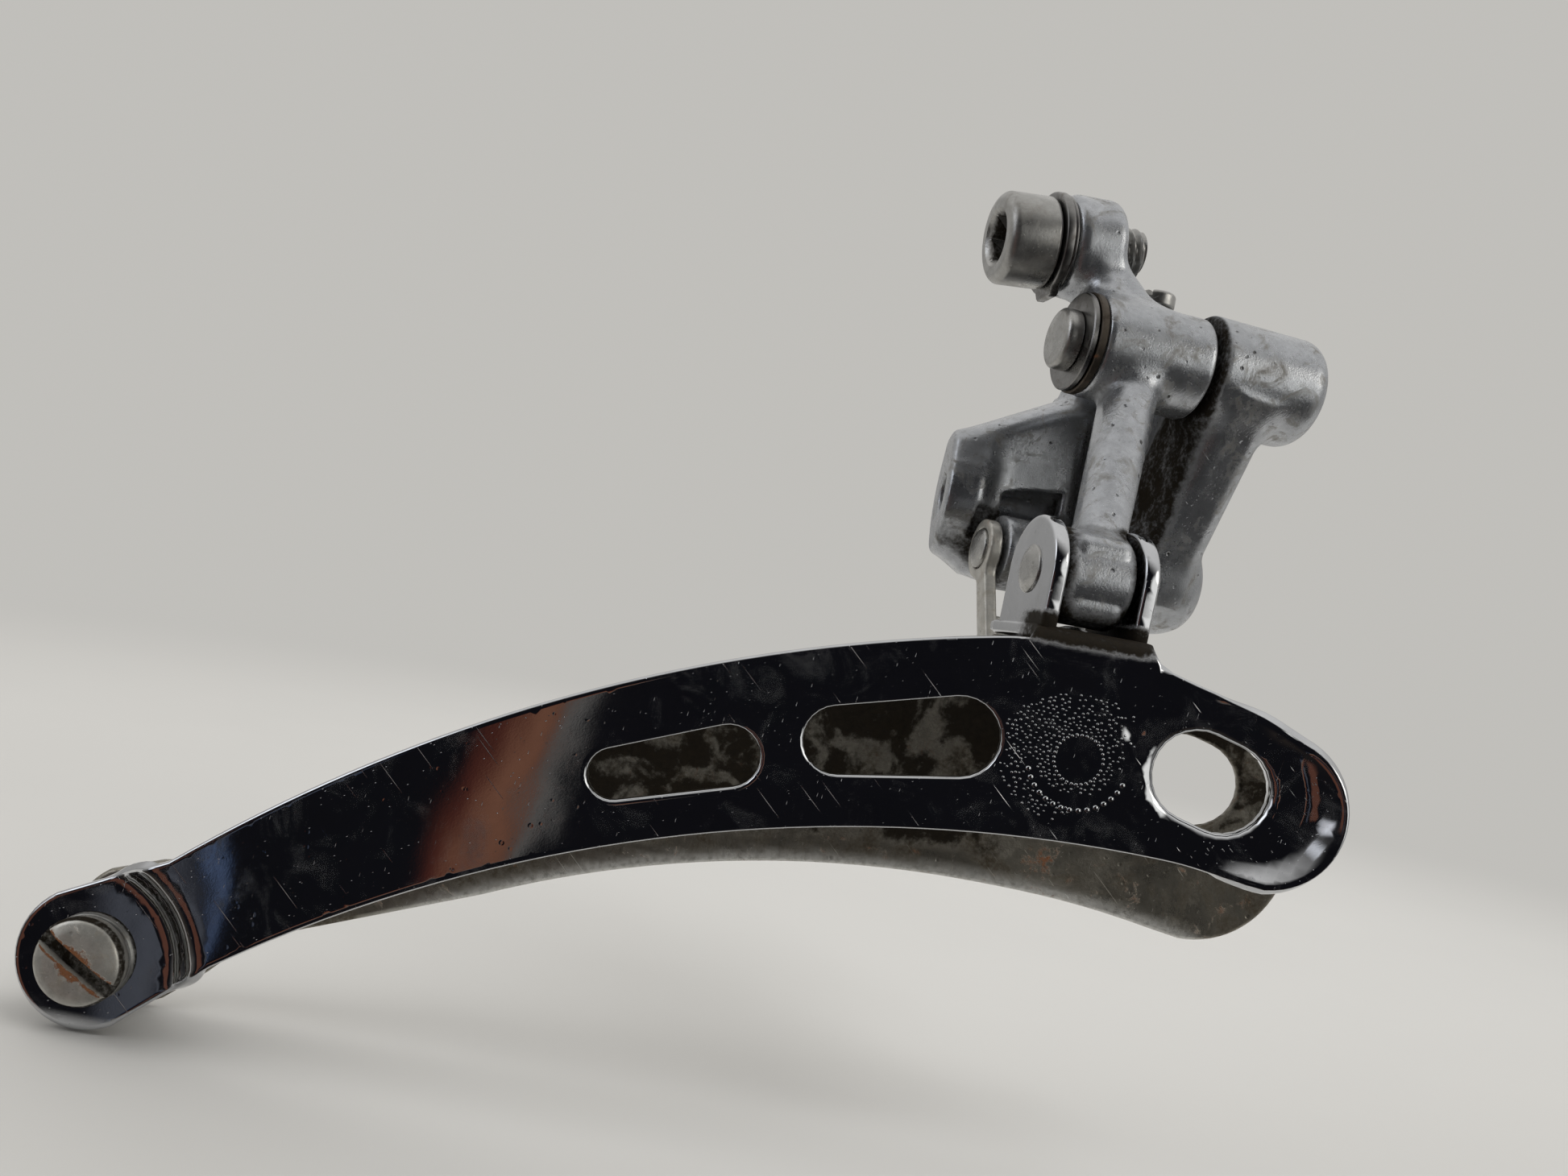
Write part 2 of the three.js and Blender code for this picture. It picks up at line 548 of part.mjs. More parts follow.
function anchorWasher() {
  const [from, to] = [-3.85, -2.9];
  const disc = rod('x', from, to, 5.0, [0, 0, 0]);
  const tab = box([from, -2.6, -5.5], [to, 2.6, 0]);
  return cut(join(disc, tab), rod('x', from - 1, to + 1, 2.8, [0, 0, 0], 20));
}

// ---------------------------------------------------------------- assembly
const derailleur = new THREE.Group();
const drawing = new THREE.Group(); // datum on the outer cage plate
drawing.position.set(-PAD_POINT.x, -PAD_POINT.y, -PAD_POINT.z);
const pivots = new THREE.Group(); // u, v, z
pivots.rotation.z = SKEW;
drawing.add(pivots);
derailleur.add(drawing);

const anchor = new THREE.Group();
anchor.position.set(ANCHOR.u, ANCHOR.v, ANCHOR.z);
anchor.rotation.y = ANCHOR_TILT;
pivots.add(anchor);

function place(group, name, body, material) {
  const mesh = new THREE.Mesh(geometryOf(body), material);
  mesh.name = name;
  group.add(mesh);
  return mesh;
}

place(drawing, 'bracket_body', bracketBody(), CAST_ALUMINIUM);
place(drawing, 'outer_cage_plate', outerPlate(), CHROME);
place(drawing, 'inner_cage_plate', innerPlate(), GREASY_STEEL);
place(drawing, 'cage_rivet_rear', cageRivet(RIVET_XY[0]), BOLT_STEEL);
place(drawing, 'cage_rivet_front', cageRivet(RIVET_XY[1]), BOLT_STEEL);
place(drawing, 'tail_spacer', tailSpacer(), BOLT_STEEL);
place(drawing, 'tail_screw', tailScrew(), BOLT_STEEL);

place(pivots, 'outer_arm', outerArm(), CAST_ALUMINIUM);
place(pivots, 'inner_arm', innerArm(), GREASY_STEEL);
place(pivots, 'outer_pivot_pin', outerPivotPin(), BOLT_STEEL);
const outerAxis = along(0, UPPER_OUTER);
const innerAxis = along(0, UPPER_INNER);
const earAxis = along(0, LOWER_OUTER);
const lugAxis = along(0, LOWER_INNER);
place(pivots, 'outer_pivot_washer', ring('x', 25.5, 26.0, 2.8, 4.6, outerAxis), RUSTY_STEEL);
place(pivots, 'outer_pivot_spring_washer', ring('x', 24.85, 25.25, 2.8, 4.5, outerAxis), BOLT_STEEL);
place(pivots, 'inner_pivot_pin', plainPin(21.9, 2.3, 0.5, 42.2, INNER_PIN_R, innerAxis), BOLT_STEEL);
place(pivots, 'ear_pin', rivetedPin(18.85, 29.95, EAR_PIN_R, 2.5, earAxis), BOLT_STEEL);
place(pivots, 'lug_pin', rivetedPin(20.45, 36.65, LUG_PIN_R, 2.0, lugAxis), BOLT_STEEL);
place(pivots, 'return_spring', coil(3.1, 0.38, 4.5, 1.1, 31.2, outerAxis), SPRING_STEEL);

place(anchor, 'cable_anchor_bolt', anchorBolt(), BOLT_STEEL);
place(anchor, 'cable_anchor_washer', anchorWasher(), BOLT_STEEL);

const lowScrew = place(pivots, 'low_limit_screw', limitScrew(LOW_SCREW.length), BOLT_STEEL);
lowScrew.position.set(LOW_SCREW.u, LOW_SCREW.v, LOW_SCREW.top);
lowScrew.rotation.y = Math.PI / 2;
const highScrew = place(pivots, 'high_limit_screw', limitScrew(HIGH_SCREW.length), BOLT_STEEL);
highScrew.position.set(HIGH_SCREW.u, HIGH_SCREW.top, HIGH_SCREW.z);
highScrew.rotation.z = -Math.PI / 2;

const lowSpring = place(pivots, 'low_limit_spring', lockSpring(), SPRING_STEEL);
lowSpring.position.set(LOW_SCREW.u, LOW_SCREW.v, LOW_SCREW.top - LIMIT_SCREW.headLength - GAP);
lowSpring.rotation.y = Math.PI / 2;
const highSpring = place(pivots, 'high_limit_spring', lockSpring(), SPRING_STEEL);
highSpring.position.set(HIGH_SCREW.u, 28.65, HIGH_SCREW.z);
highSpring.rotation.z = Math.PI / 2;

export default derailleur;
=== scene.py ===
"""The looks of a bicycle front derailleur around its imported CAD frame, on a plain pale floor.

Forms are built in the drawing's millimetres and carried into the row frame. Its datum lies on the
outer face of the outer cage plate. The pivots lie in a frame (u, v, z) skewed about the vertical:
u runs along the pivot axes and v points inboard.
"""

import json
import math

import bmesh
import bpy
import numpy as np
from mathutils import Matrix, Vector
from mathutils.geometry import delaunay_2d_cdt

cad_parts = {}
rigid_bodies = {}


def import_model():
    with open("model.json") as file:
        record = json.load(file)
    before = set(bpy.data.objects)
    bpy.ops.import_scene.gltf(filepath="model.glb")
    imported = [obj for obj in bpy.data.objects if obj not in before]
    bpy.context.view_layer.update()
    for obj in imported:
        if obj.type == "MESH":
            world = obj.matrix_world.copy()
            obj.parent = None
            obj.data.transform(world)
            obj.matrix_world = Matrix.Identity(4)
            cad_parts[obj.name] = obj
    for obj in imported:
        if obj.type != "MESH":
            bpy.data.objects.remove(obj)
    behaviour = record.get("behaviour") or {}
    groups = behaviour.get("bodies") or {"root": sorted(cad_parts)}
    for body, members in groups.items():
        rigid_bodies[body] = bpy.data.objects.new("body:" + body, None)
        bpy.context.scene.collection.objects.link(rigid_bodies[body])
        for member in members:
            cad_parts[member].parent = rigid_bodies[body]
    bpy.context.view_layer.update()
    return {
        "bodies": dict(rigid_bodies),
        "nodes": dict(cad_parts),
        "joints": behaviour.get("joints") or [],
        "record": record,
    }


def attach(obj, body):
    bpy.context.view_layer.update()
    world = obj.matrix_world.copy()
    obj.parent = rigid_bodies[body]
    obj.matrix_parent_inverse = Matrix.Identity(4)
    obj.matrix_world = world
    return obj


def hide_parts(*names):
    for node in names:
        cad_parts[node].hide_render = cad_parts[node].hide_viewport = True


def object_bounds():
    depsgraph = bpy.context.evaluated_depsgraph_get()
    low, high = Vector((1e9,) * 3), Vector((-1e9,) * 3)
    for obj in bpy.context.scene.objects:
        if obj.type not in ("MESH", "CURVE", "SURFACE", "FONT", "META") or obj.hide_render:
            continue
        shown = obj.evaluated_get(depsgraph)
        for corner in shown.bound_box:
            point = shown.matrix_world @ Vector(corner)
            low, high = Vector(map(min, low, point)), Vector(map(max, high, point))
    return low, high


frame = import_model()

# ---------- driving dimensions, millimetres
MM = 0.001
DATUM = Vector((-14.0, -34.9, -15.0))  # the drawing's datum, seen from the row frame's origin
SKEW = math.radians(12)

UPPER_OUTER = (12.8, 29.1)
LOWER_OUTER = (0.8, 7.2)
UPPER_INNER = (21.0, 9.7)
LOWER_INNER = (9.0, -12.2)

PLATE = 1.2
CAGE_INNER_Y = 11.6
TOP_EDGE = (41.95, -126.7, 130.5)
OUTER_LOWER_EDGE = (29.2, -129.4, 116.1)
INNER_LOWER_EDGE = (20.0, -118.2, 98.5)
OUTER_NOSE = (39.3, -8.1, 5.7)
INNER_NOSE = (39.2, -13.4, 8.1)
OUTER_TAIL = (-48.7, -36.7, 5.7)
INNER_TAIL = (-48.4, -36.5, 5.9)
OUTER_TAIL_STEP = 2.5
INNER_TAIL_STEP = -1.8
STIPPLE_CENTRE = (24.6, -6.9)
NOSE_HOLE = ((34.0, -6.5), (36.2, -7.1))
SLOT_FRONT = ((6.2, -8.8), (15.4, -6.8))
BRIDGE_TOP = 2.9
FOLD_RADIUS = 1.5

KNUCKLE = (26.3, 36.9, 4.7)
BARREL = (21.5, 27.3, 3.9)
EAR_REAR, EAR_FRONT, EAR_THICK, EAR_RADIUS = 20.5, 28.3, 1.3, 4.5
CHANNEL_REAR, CHANNEL_FRONT, CHANNEL_THICK = 23.4, 33.6, 1.2
LUG_REAR, LUG_FRONT, LUG_THICK, LUG_RADIUS = 22.0, 35.1, 1.1, 3.1
LUG_SILL, LUG_FLOOR = -8.6, -14.7
ANCHOR = (26.6, 18.0, 39.35)
ANCHOR_TILT = math.radians(-6.4)
LOW_SCREW = (35.6, 19.6)
HIGH_SCREW = (33.5, 30.6)
RIVETS = ((21.4, 9.2), (24.6, 9.2))
PAD_HOLE = (31.2, 15.0)
PAD_FACE = 13.98
BOSS_FACE = 37.55  # where the body's boss meets the knuckle
PIVOT_BORE, INNER_BORE, SCREW_BORE, PAD_BORE = 2.42, 2.0, 1.4, 2.1

STIPPLE_RING, STIPPLE_ARC, STIPPLE_COUNT = 1.9, 3.9, 330
HEXAGON_TURN = math.radians(11)
SLOT_TURN = math.radians(31)

CAMERA_DISTANCE = 95.7  # from the outer plate's face
CAMERA_ROLL = math.radians(10.5)
LENS, SENSOR = 28.674, 36.0
LENS_SHIFT = (0.00308, 0.01593)  # in widths of the picture


# ---------- small vector helpers
def smooth(t):
    t = np.clip(t, 0.0, 1.0)
    return t * t * (3 - 2 * t)


def arc(cx, cz, r, start, end, count):
    a = np.radians(np.linspace(start, end, count))
    return np.stack([cx + r * np.cos(a), cz + r * np.sin(a)], axis=1)


def ring(cx, cz, r, count=48):
    return arc(cx, cz, r, 0, 360, count + 1)[:-1]


def circle(count, turn=0.0):
    """Points on a unit circle."""
    a = turn + np.linspace(0, 2 * math.pi, count, endpoint=False)
    return np.stack([np.cos(a), np.sin(a)], axis=1)


def capsule_outline(a, ra, b, rb, count=14):
    a, b = np.array(a, float), np.array(b, float)
    axis = math.degrees(math.atan2(*(b - a)[::-1]))
    spread = math.degrees(math.acos((ra - rb) / np.linalg.norm(b - a)))
    return np.vstack([
        arc(*a, ra, axis + spread, axis + 360 - spread, count),
        arc(*b, rb, axis - spread, axis + spread, count),
    ])


def edge(circle, start, end, count, lift=0.0):
    cx, cz, r = circle
    x = np.linspace(start, end, count)
    return np.stack([x, cz + lift + np.sqrt(r * r - (x - cx) ** 2)], axis=1)


def resample(loop, pitch):
    """Points about pitch apart round a closed loop, keeping its corners."""
    loop = np.asarray(loop, float)
    out = []
    for p, q in zip(loop, np.roll(loop, -1, axis=0)):
        count = max(1, int(round(np.linalg.norm(q - p) / pitch)))
        out += [p + (q - p) * i / count for i in range(count)]
    return np.array(out)


def inside(points, loop):
    """Which points lie inside a closed loop."""
    x, y = points[:, 0][:, None], points[:, 1][:, None]
    x0, y0 = loop[:, 0], loop[:, 1]
    x1, y1 = np.roll(x0, -1), np.roll(y0, -1)
    crosses = (y0 > y) != (y1 > y)
    with np.errstate(divide="ignore", invalid="ignore"):
        at = (x1 - x0) * (y - y0) / (y1 - y0) + x0
    return (crosses & (x < at)).sum(axis=1) % 2 == 1


def skewed_to_drawing(p):
    p = np.asarray(p, float)
    c, s = math.cos(SKEW), math.sin(SKEW)
    return np.stack([p[..., 0] * c - p[..., 1] * s, p[..., 0] * s + p[..., 1] * c, p[..., 2]], axis=-1)


def skewed_frame(along, across, origin):
    """Two directions and a point of the skewed frame, as the drawing has them."""
    return [skewed_to_drawing(p) for p in (along, across, origin)]


def pivot_frame(axis, u=0.0):
    return skewed_frame((1, 0, 0), (0, 1, 0), (u, *axis))


def basis(along, across):
    return np.array([along, across, np.cross(along, across)], float)


def placed(points, along, across, origin):
    """Points carried by their first two axes. The third completes them."""
    return np.asarray(points, float) @ basis(along, across) + np.array(origin, float)


def seen_from(points, along, across, origin):
    """The reverse of placed."""
    return (points - np.array(origin, float)) @ basis(along, across).T


ANCHOR_FRAME = ((math.cos(ANCHOR_TILT), 0, -math.sin(ANCHOR_TILT)), (0, 1, 0), ANCHOR)


# ---------- making objects
def make_object(name, verts, faces, sharp=None):
    """An object from drawing millimetres. sharp is the angle in degrees past which an edge is crisp."""
    mesh = bpy.data.meshes.new(name)
    mesh.from_pydata([(Vector(v) + DATUM) * MM for v in verts], [], [tuple(map(int, f)) for f in faces])
    mesh.validate()
    obj = bpy.data.objects.new(name, mesh)
    bpy.context.scene.collection.objects.link(obj)
    shade(obj, sharp)
    return obj


def shade(obj, sharp=None):
    obj.data.polygons.foreach_set("use_smooth", [True] * len(obj.data.polygons))
    if sharp is not None:
        obj.data.set_sharp_from_angle(angle=math.radians(sharp))


def joined(*shells):
    """Several (verts, faces) shells as one."""
    verts, faces, base = [], [], 0
    for v, f in shells:
        verts.append(np.asarray(v, float))
        faces += [tuple(int(i) + base for i in face) for face in f]
        base += len(v)
    return np.vstack(verts), faces


def outward(verts, faces):
    """The same shell with its faces pointing out."""
    verts = np.asarray(verts, float)
    volume = 0.0
    for f in faces:
        a = verts[f[0]]
        for i in range(1, len(f) - 1):
            volume += np.dot(a, np.cross(verts[f[i]], verts[f[i + 1]]))
    return verts, faces if volume > 0 else [tuple(reversed(f)) for f in faces]


def keep_flats(obj):
    """Shades the flats of a rounded plate as flat."""
    weighted = obj.modifiers.new("flats", "WEIGHTED_NORMAL")
    weighted.keep_sharp = False


def drawing_points(obj):
    return np.array([v.co for v in obj.data.vertices]) / MM - np.array(DATUM)


def mark_vertices(obj, amount, kind="grime"):
    """Marks each vertex from 0 to 1 in an attribute of the given kind. The kinds used carry dirt with painted
    shade, wear with a painted highlight, and rust.
    """
    layer = obj.data.attributes.new(kind, "FLOAT", "POINT")
    layer.data.foreach_set("value", np.asarray(amount, np.float32))


def carve(obj, cutter):
    """Cuts one object from another and removes the cutter."""
    mod = obj.modifiers.new("cut", "BOOLEAN")
    mod.operation = "DIFFERENCE"
    mod.solver = "EXACT"
    mod.object = cutter
    graph = bpy.context.evaluated_depsgraph_get()
    mesh = bpy.data.meshes.new_from_object(obj.evaluated_get(graph))
    obj.modifiers.remove(mod)
    obj.data = mesh
    bpy.data.objects.remove(cutter)


# ---------- turned forms
def rounded_profile(steps, radius, count=4):
    """Rounds the corners of a list of [along, radius] steps."""
    pts = [np.array(p, float) for p in steps]
    out = [pts[0]]
    for before, at, after in zip(pts, pts[1:], pts[2:]):
        a, b = before - at, after - at
        la, lb = np.linalg.norm(a), np.linalg.norm(b)
        if at[1] < 1e-6 or la < 1e-6 or lb < 1e-6:
            out.append(at)
            continue
        r = min(radius, la * 0.45, lb * 0.45)
        p, q = at + a / la * r, at + b / lb * r
        for t in np.linspace(0, 1, count):
            out.append((1 - t) ** 2 * p + 2 * t * (1 - t) * at + t * t * q)
    out.append(pts[-1])
    return out


def loft(rings, looped=False, capped=False):
    """A shell through rings of points. A ring of one point is a tip."""
    ends = np.cumsum([len(r) for r in rings])
    rows = [range(end - len(r), end) for r, end in zip(rings, ends)]
    faces = []
    for low, high in zip(rows, rows[1:] + (rows[:1] if looped else [])):
        sides = max(len(low), len(high))
        for i in range(sides):
            j = (i + 1) % sides
            if len(low) == 1:
                faces.append((low[0], high[j], high[i]))
            elif len(high) == 1:
                faces.append((low[i], low[j], high[0]))
            else:
                faces.append((low[i], low[j], high[j], high[i]))
    if capped:
        faces += [tuple(row) for row in (rows[0][::-1], rows[-1]) if len(row) > 1]
    return outward(np.vstack(rings), faces)


def disc(along, spokes):
    """A ring of (y, z) spokes at a place along the first axis."""
    return np.column_stack([np.full(len(spokes), along), spokes])


def turned_shell(steps, sides=56, looped=False):
    """A shell turned about the first axis, from [along, radius] steps."""
    rings = [disc(along, radius * circle(sides if radius > 1e-6 else 1)) for along, radius in steps]
    return loft(rings, looped)


def thread_shell(start, end, major, pitch, depth, sides=36):
    """A threaded shank along the first axis, with its ends run out."""
    rings = [[(start, 0, 0)]]
    for along in np.linspace(start, end, int((end - start) / pitch * 10) + 1):
        phase = (along / pitch - np.arange(sides) / sides) % 1.0
        tooth = np.clip(1.15 - np.abs(phase - 0.5) * 2.6, 0, 1)
        run_out = min(1.0, (end - along) / (0.8 * pitch) + 0.35)
        radius = (major - depth * (1 - tooth)) * (0.86 + 0.14 * run_out)
        rings.append(disc(along, circle(sides) * radius[:, None]))
    return loft(rings + [[(end, 0, 0)]])


def coil_shell(radius, wire, turns, pitch, per_turn=36, sides=10):
    """A coil of round wire about the first axis."""
    t = np.linspace(0, turns * 2 * math.pi, int(turns * per_turn) + 1)
    path = np.stack([t / (2 * math.pi) * pitch, radius * np.cos(t), radius * np.sin(t)], axis=1)
    tangent = np.gradient(path, axis=0)
    tangent /= np.linalg.norm(tangent, axis=1)[:, None]
    side = np.cross(tangent, (1.0, 0.3, 0.1))
    side /= np.linalg.norm(side, axis=1)[:, None]
    other = np.cross(side, tangent)
    rings = [p + wire * circle(sides) @ np.stack(pair) for p, *pair in zip(path, side, other)]
    return loft(rings, capped=True)


# ---------- cast forms from distance fields
def smin(a, b, k):
    h = np.clip(0.5 + 0.5 * (b - a) / k, 0, 1)
    return b + (a - b) * h - k * h * (1 - h)


def union(k, *fields):
    out = fields[0]
    for f in fields[1:]:
        out = smin(out, f, k)
    return out


def minus(field, tool, k=0.25):
    return -smin(-field, tool, k)


def rounded_corner(a, b, r):
    """Combines two one-sided distances with a corner of radius r."""
    a, b = a + r, b + r
    return np.minimum(np.maximum(a, b), 0) + np.hypot(np.maximum(a, 0), np.maximum(b, 0)) - r


def drum(p, axis, span, radius, rounding):
    """A cylinder along u about an axis (v, z). Two radii make it taper."""
    start, end = np.broadcast_to(radius, 2)
    radial = np.hypot(p[:, 1] - axis[0], p[:, 2] - axis[1])
    t = np.clip((p[:, 0] - span[0]) / (span[1] - span[0]), 0, 1)
    return rounded_corner(radial - (start + (end - start) * t), outside_span(p[:, 0], span), rounding)


def outside_span(along, span):
    return np.abs(along - sum(span) / 2) - (span[1] - span[0]) / 2


def block(p, low, high, r):
    low, high = np.array(low, float), np.array(high, float)
    q = np.abs(p - (low + high) / 2) - (high - low) / 2 + r
    return np.minimum(q.max(axis=1), 0) + np.linalg.norm(np.maximum(q, 0), axis=1) - r


def beam(p, a, b, wide, thick, r):
    """A bar from a to b with rounded edges. wide (along u) and thick are its half sizes at a and at b."""
    a, b = np.array(a, float), np.array(b, float)
    axis = (b - a) / np.linalg.norm(b - a)
    side = np.array([1.0, 0, 0]) - axis * axis[0]
    side /= np.linalg.norm(side)
    across = np.cross(axis, side)
    t = np.clip((p - a) @ axis / np.linalg.norm(b - a), 0, 1)
    half_wide, half_thick = (start + (end - start) * t for start, end in (wide, thick))
    d = p - (a + np.outer(t, b - a))
    section = rounded_corner(np.abs(d @ side) - half_wide, np.abs(d @ across) - half_thick, r)
    ends = np.abs((p - (a + b) / 2) @ axis) - np.linalg.norm(b - a) / 2
    return np.maximum(section, ends)


def slab(p, normal, span, loop, r):
    """A polygon pushed over a span of one axis, with its edges rounded."""
    flat, loop = np.delete(p, normal, axis=1), np.array(loop, float)
    outline = np.where(inside(flat, loop), -1.0, 1.0) * distance_to(flat, [loop])
    return rounded_corner(outline, outside_span(p[:, normal], span), r)


def evaluate(field, points, chunk=100000):
    return np.concatenate([field(points[i:i + chunk]) for i in range(0, len(points), chunk)])


def surface_of(field, low, high, step):
    """A closed quad mesh on the zero level of a field, with its vertices drawn onto that level."""
    low, high = np.array(low, float), np.array(high, float)
    counts = np.ceil((high - low) / step).astype(int) + 1
    axes = [low[i] + step * np.arange(counts[i]) for i in range(3)]
    grid = np.stack(np.meshgrid(*axes, indexing="ij"), axis=-1).reshape(-1, 3)
    values = evaluate(field, grid).reshape(counts)
    cells = counts - 1

    def corner(a, offset):
        i, j, k = offset
        return a[i:i + cells[0], j:j + cells[1], k:k + cells[2]]

    total = np.zeros((*cells, 3), np.float32)
    hits = np.zeros(cells, np.int8)
    for axis in range(3):
        for sides in np.ndindex(2, 2):
            start = [0, 0, 0]
            start[(axis + 1) % 3], start[(axis + 2) % 3] = sides
            end = list(start)
            end[axis] = 1
            a, b = corner(values, start), corner(values, end)
            crossing = (a < 0) != (b < 0)
            point = np.tile(np.array(start, np.float32), (crossing.sum(), 1))
            point[:, axis] = a[crossing] / (a[crossing] - b[crossing])
            total[crossing] += point
            hits[crossing] += 1
    active = hits > 0
    index = np.full(cells, -1, np.int64)
    index[active] = np.arange(active.sum())
    where = np.argwhere(active)
    verts = (where + total[active] / hits[active][:, None]) * step + low
    faces = []
    for axis in range(3):
        j, k = (axis + 1) % 3, (axis + 2) % 3
        a = np.moveaxis(values, (axis, j, k), (0, 1, 2)) < 0
        ids = np.moveaxis(index, (axis, j, k), (0, 1, 2))
        rising = a[:-1, 1:-1, 1:-1] & ~a[1:, 1:-1, 1:-1]
        falling = ~a[:-1, 1:-1, 1:-1] & a[1:, 1:-1, 1:-1]
        for mask, order in ((rising, (0, 1, 2, 3)), (falling, (3, 2, 1, 0))):
            i, m, n = np.nonzero(mask)
            quad = [ids[i, m, n], ids[i, m + 1, n], ids[i, m + 1, n + 1], ids[i, m, n + 1]]
            faces.append(np.stack([quad[o] for o in order], axis=1))
    faces = np.vstack(faces)
    for _ in range(3):
        verts = drawn_to_surface(field, verts, step)
    return verts, faces


def gradient(field, p, h=0.03):
    out = np.empty_like(p)
    for axis in range(3):
        shift = np.zeros(3)
        shift[axis] = h
        out[:, axis] = evaluate(field, p + shift) - evaluate(field, p - shift)
    return out / np.maximum(np.linalg.norm(out, axis=1), 1e-9)[:, None]


def drawn_to_surface(field, verts, step):
    move = evaluate(field, verts)[:, None] * gradient(field, verts)
    return verts - np.clip(move, -0.3 * step, 0.3 * step)


def cavity_of(field, verts, reach=1.3):
    """0 on open surface, rising to 1 in corners and crevices."""
    normal = gradient(field, verts)
    open_space = evaluate(field, verts + normal * reach) / reach
    return np.clip(1.15 - open_space, 0, 1)


# ---------- pressed plates
def distance_to(points, loops):
    """Distance from each flat point to the nearest of some closed loops."""
    best = np.full(len(points), 1e9)
    for loop in loops:
        for a, b in zip(loop, np.roll(loop, -1, axis=0)):
            e, w = b - a, points - a
            t = np.clip(w @ e / max(e @ e, 1e-12), 0, 1)
            best = np.minimum(best, np.sum((w - t[:, None] * e) ** 2, axis=1))
    return np.sqrt(best)


def inset_ring(loop, solid, distance):
    """A loop's points moved into the material."""
    along = np.roll(loop, -1, axis=0) - np.roll(loop, 1, axis=0)
    side = np.stack([-along[:, 1], along[:, 0]], axis=1)
    side /= np.maximum(np.linalg.norm(side, axis=1), 1e-9)[:, None]
    if solid(loop + side * 0.02).mean() < 0.5:
        side = -side
    return loop + side * distance


def pressed_shell(outline, holes, lay, pitch, thick=PLATE, rounding=0.3):
    """A sheet cut to an outline with holes, its edges rounded. lay takes flat points to the near face and
    to the direction of the far one."""
    loops = [resample(outline, pitch)] + [resample(h, pitch * 0.6) for h in holes]

    def solid(points):
        keep = inside(points, loops[0])
        for hole in loops[1:]:
            keep &= ~inside(points, hole)
        return keep

    low, high = loops[0].min(axis=0), loops[0].max(axis=0)
    rows = []
    for n, row in enumerate(np.arange(low[1], high[1], pitch * 0.87)):
        x = np.arange(low[0], high[0], pitch) + (n % 2) * pitch / 2
        rows.append(np.stack([x, np.full(len(x), row)], axis=1))
    grid = np.vstack(rows)
    grid = grid[solid(grid)]
    grid = grid[distance_to(grid, loops) > rounding + 0.4 * pitch]
    turns = np.radians([30, 60, 90])
    insets = []
    for distance in (*(rounding * (1 - np.cos(turns))), rounding + 0.18):
        for loop in loops:
            moved = inset_ring(loop, solid, distance)
            moved = moved[solid(moved)]
            insets.append(moved[distance_to(moved, loops) > 0.9 * distance])
    flat = np.vstack([*loops, *insets, grid])
    edges, base = [], 0
    for loop in loops:
        n = len(loop)
        edges += [(base + i, base + (i + 1) % n) for i in range(n)]
        base += n
    result = delaunay_2d_cdt([Vector(p) for p in flat], edges, [], 0, 1e-6)
    flat = np.array([tuple(v) for v in result[0]])
    tris = np.array(result[2])
    tris = tris[solid(flat[tris].mean(axis=1))]
    used = np.unique(tris)
    renumber = np.full(len(flat), -1)
    renumber[used] = np.arange(len(used))
    tris, flat = renumber[tris], flat[used]
    near, across = lay(flat)
    rise = np.minimum(distance_to(flat, loops), rounding)
    half = thick / 2 - rounding + np.sqrt(np.maximum(rounding ** 2 - (rounding - rise) ** 2, 0))
    middle = near + across * thick / 2
    verts = np.vstack([middle - across * half[:, None], middle + across * half[:, None]])
    n = len(flat)
    faces = [tuple(t) for t in tris] + [tuple(t[::-1] + n) for t in tris]
    directed = {(t[i], t[(i + 1) % 3]) for t in tris.tolist() for i in range(3)}
    faces += [(b, a, a + n, b + n) for a, b in sorted(directed) if (b, a) not in directed]
    return outward(verts, faces)


def lay_plane(at, first, second, across):
    """Flat points onto a plane through a point, with its two directions. across leads to the far face."""
    def lay(flat):
        return at + flat @ np.array([first, second], float), np.tile(np.array(across, float), (len(flat), 1))
    return lay


def lay_across_u(u):
    """Flat points (v, z) onto a face across the pivot axes."""
    along, across, at = pivot_frame((0, 0), u)
    return lay_plane(at, across, (0, 0, 1), along)


def tail_step(tail, x, z, amount):
    away = np.hypot(np.maximum(0, x - tail[0]), np.maximum(0, z - tail[1]))
    return amount * (1 - smooth((away - 6.6) / 3.4))


def outer_depth(x, z):
    lip = capsule_field(x, z, (36.0, -7.0), (38.2, -7.7), 3.9)
    rim = smooth(lip / 3.3) * smooth((x - 32.6) / 7.0)
    hole = capsule_field(x, z, *NOSE_HOLE, 3.5)
    turned_rim = 0.3 * (1 - smooth(hole / 0.8))
    dimple = 0.45 * (1 - smooth(np.hypot(x - 28.6, z + 4.1) / 1.25))
    return tail_step(OUTER_TAIL, x, z, OUTER_TAIL_STEP) - 2.0 * rim + turned_rim + dimple


def inner_depth(x, z):
    lean = 0.9 * smooth((-9.0 - z) / 9.0) * smooth((x - 20.0) / 12.0)
    return CAGE_INNER_Y + tail_step(INNER_TAIL, x, z, INNER_TAIL_STEP) + lean


def capsule_field(x, z, a, b, r):
    ax, az = a
    ex, ez = b[0] - ax, b[1] - az
    t = np.clip(((x - ax) * ex + (z - az) * ez) / (ex * ex + ez * ez), 0, 1)
    return np.hypot(x - ax - t * ex, z - az - t * ez) - r


def lay_flat(depth):
    """Flat points onto a face whose depth is a function of x and z."""
    def lay(flat):
        x, z = flat[:, 0], flat[:, 1]
        h = 0.02
        y = depth(x, z)
        slope_x = (depth(x + h, z) - depth(x - h, z)) / (2 * h)
        slope_z = (depth(x, z + h) - depth(x, z - h)) / (2 * h)
        normal = np.stack([-slope_x, np.ones_like(x), -slope_z], axis=1)
        normal /= np.linalg.norm(normal, axis=1)[:, None]
        return np.stack([x, y, z], axis=1), normal
    return lay


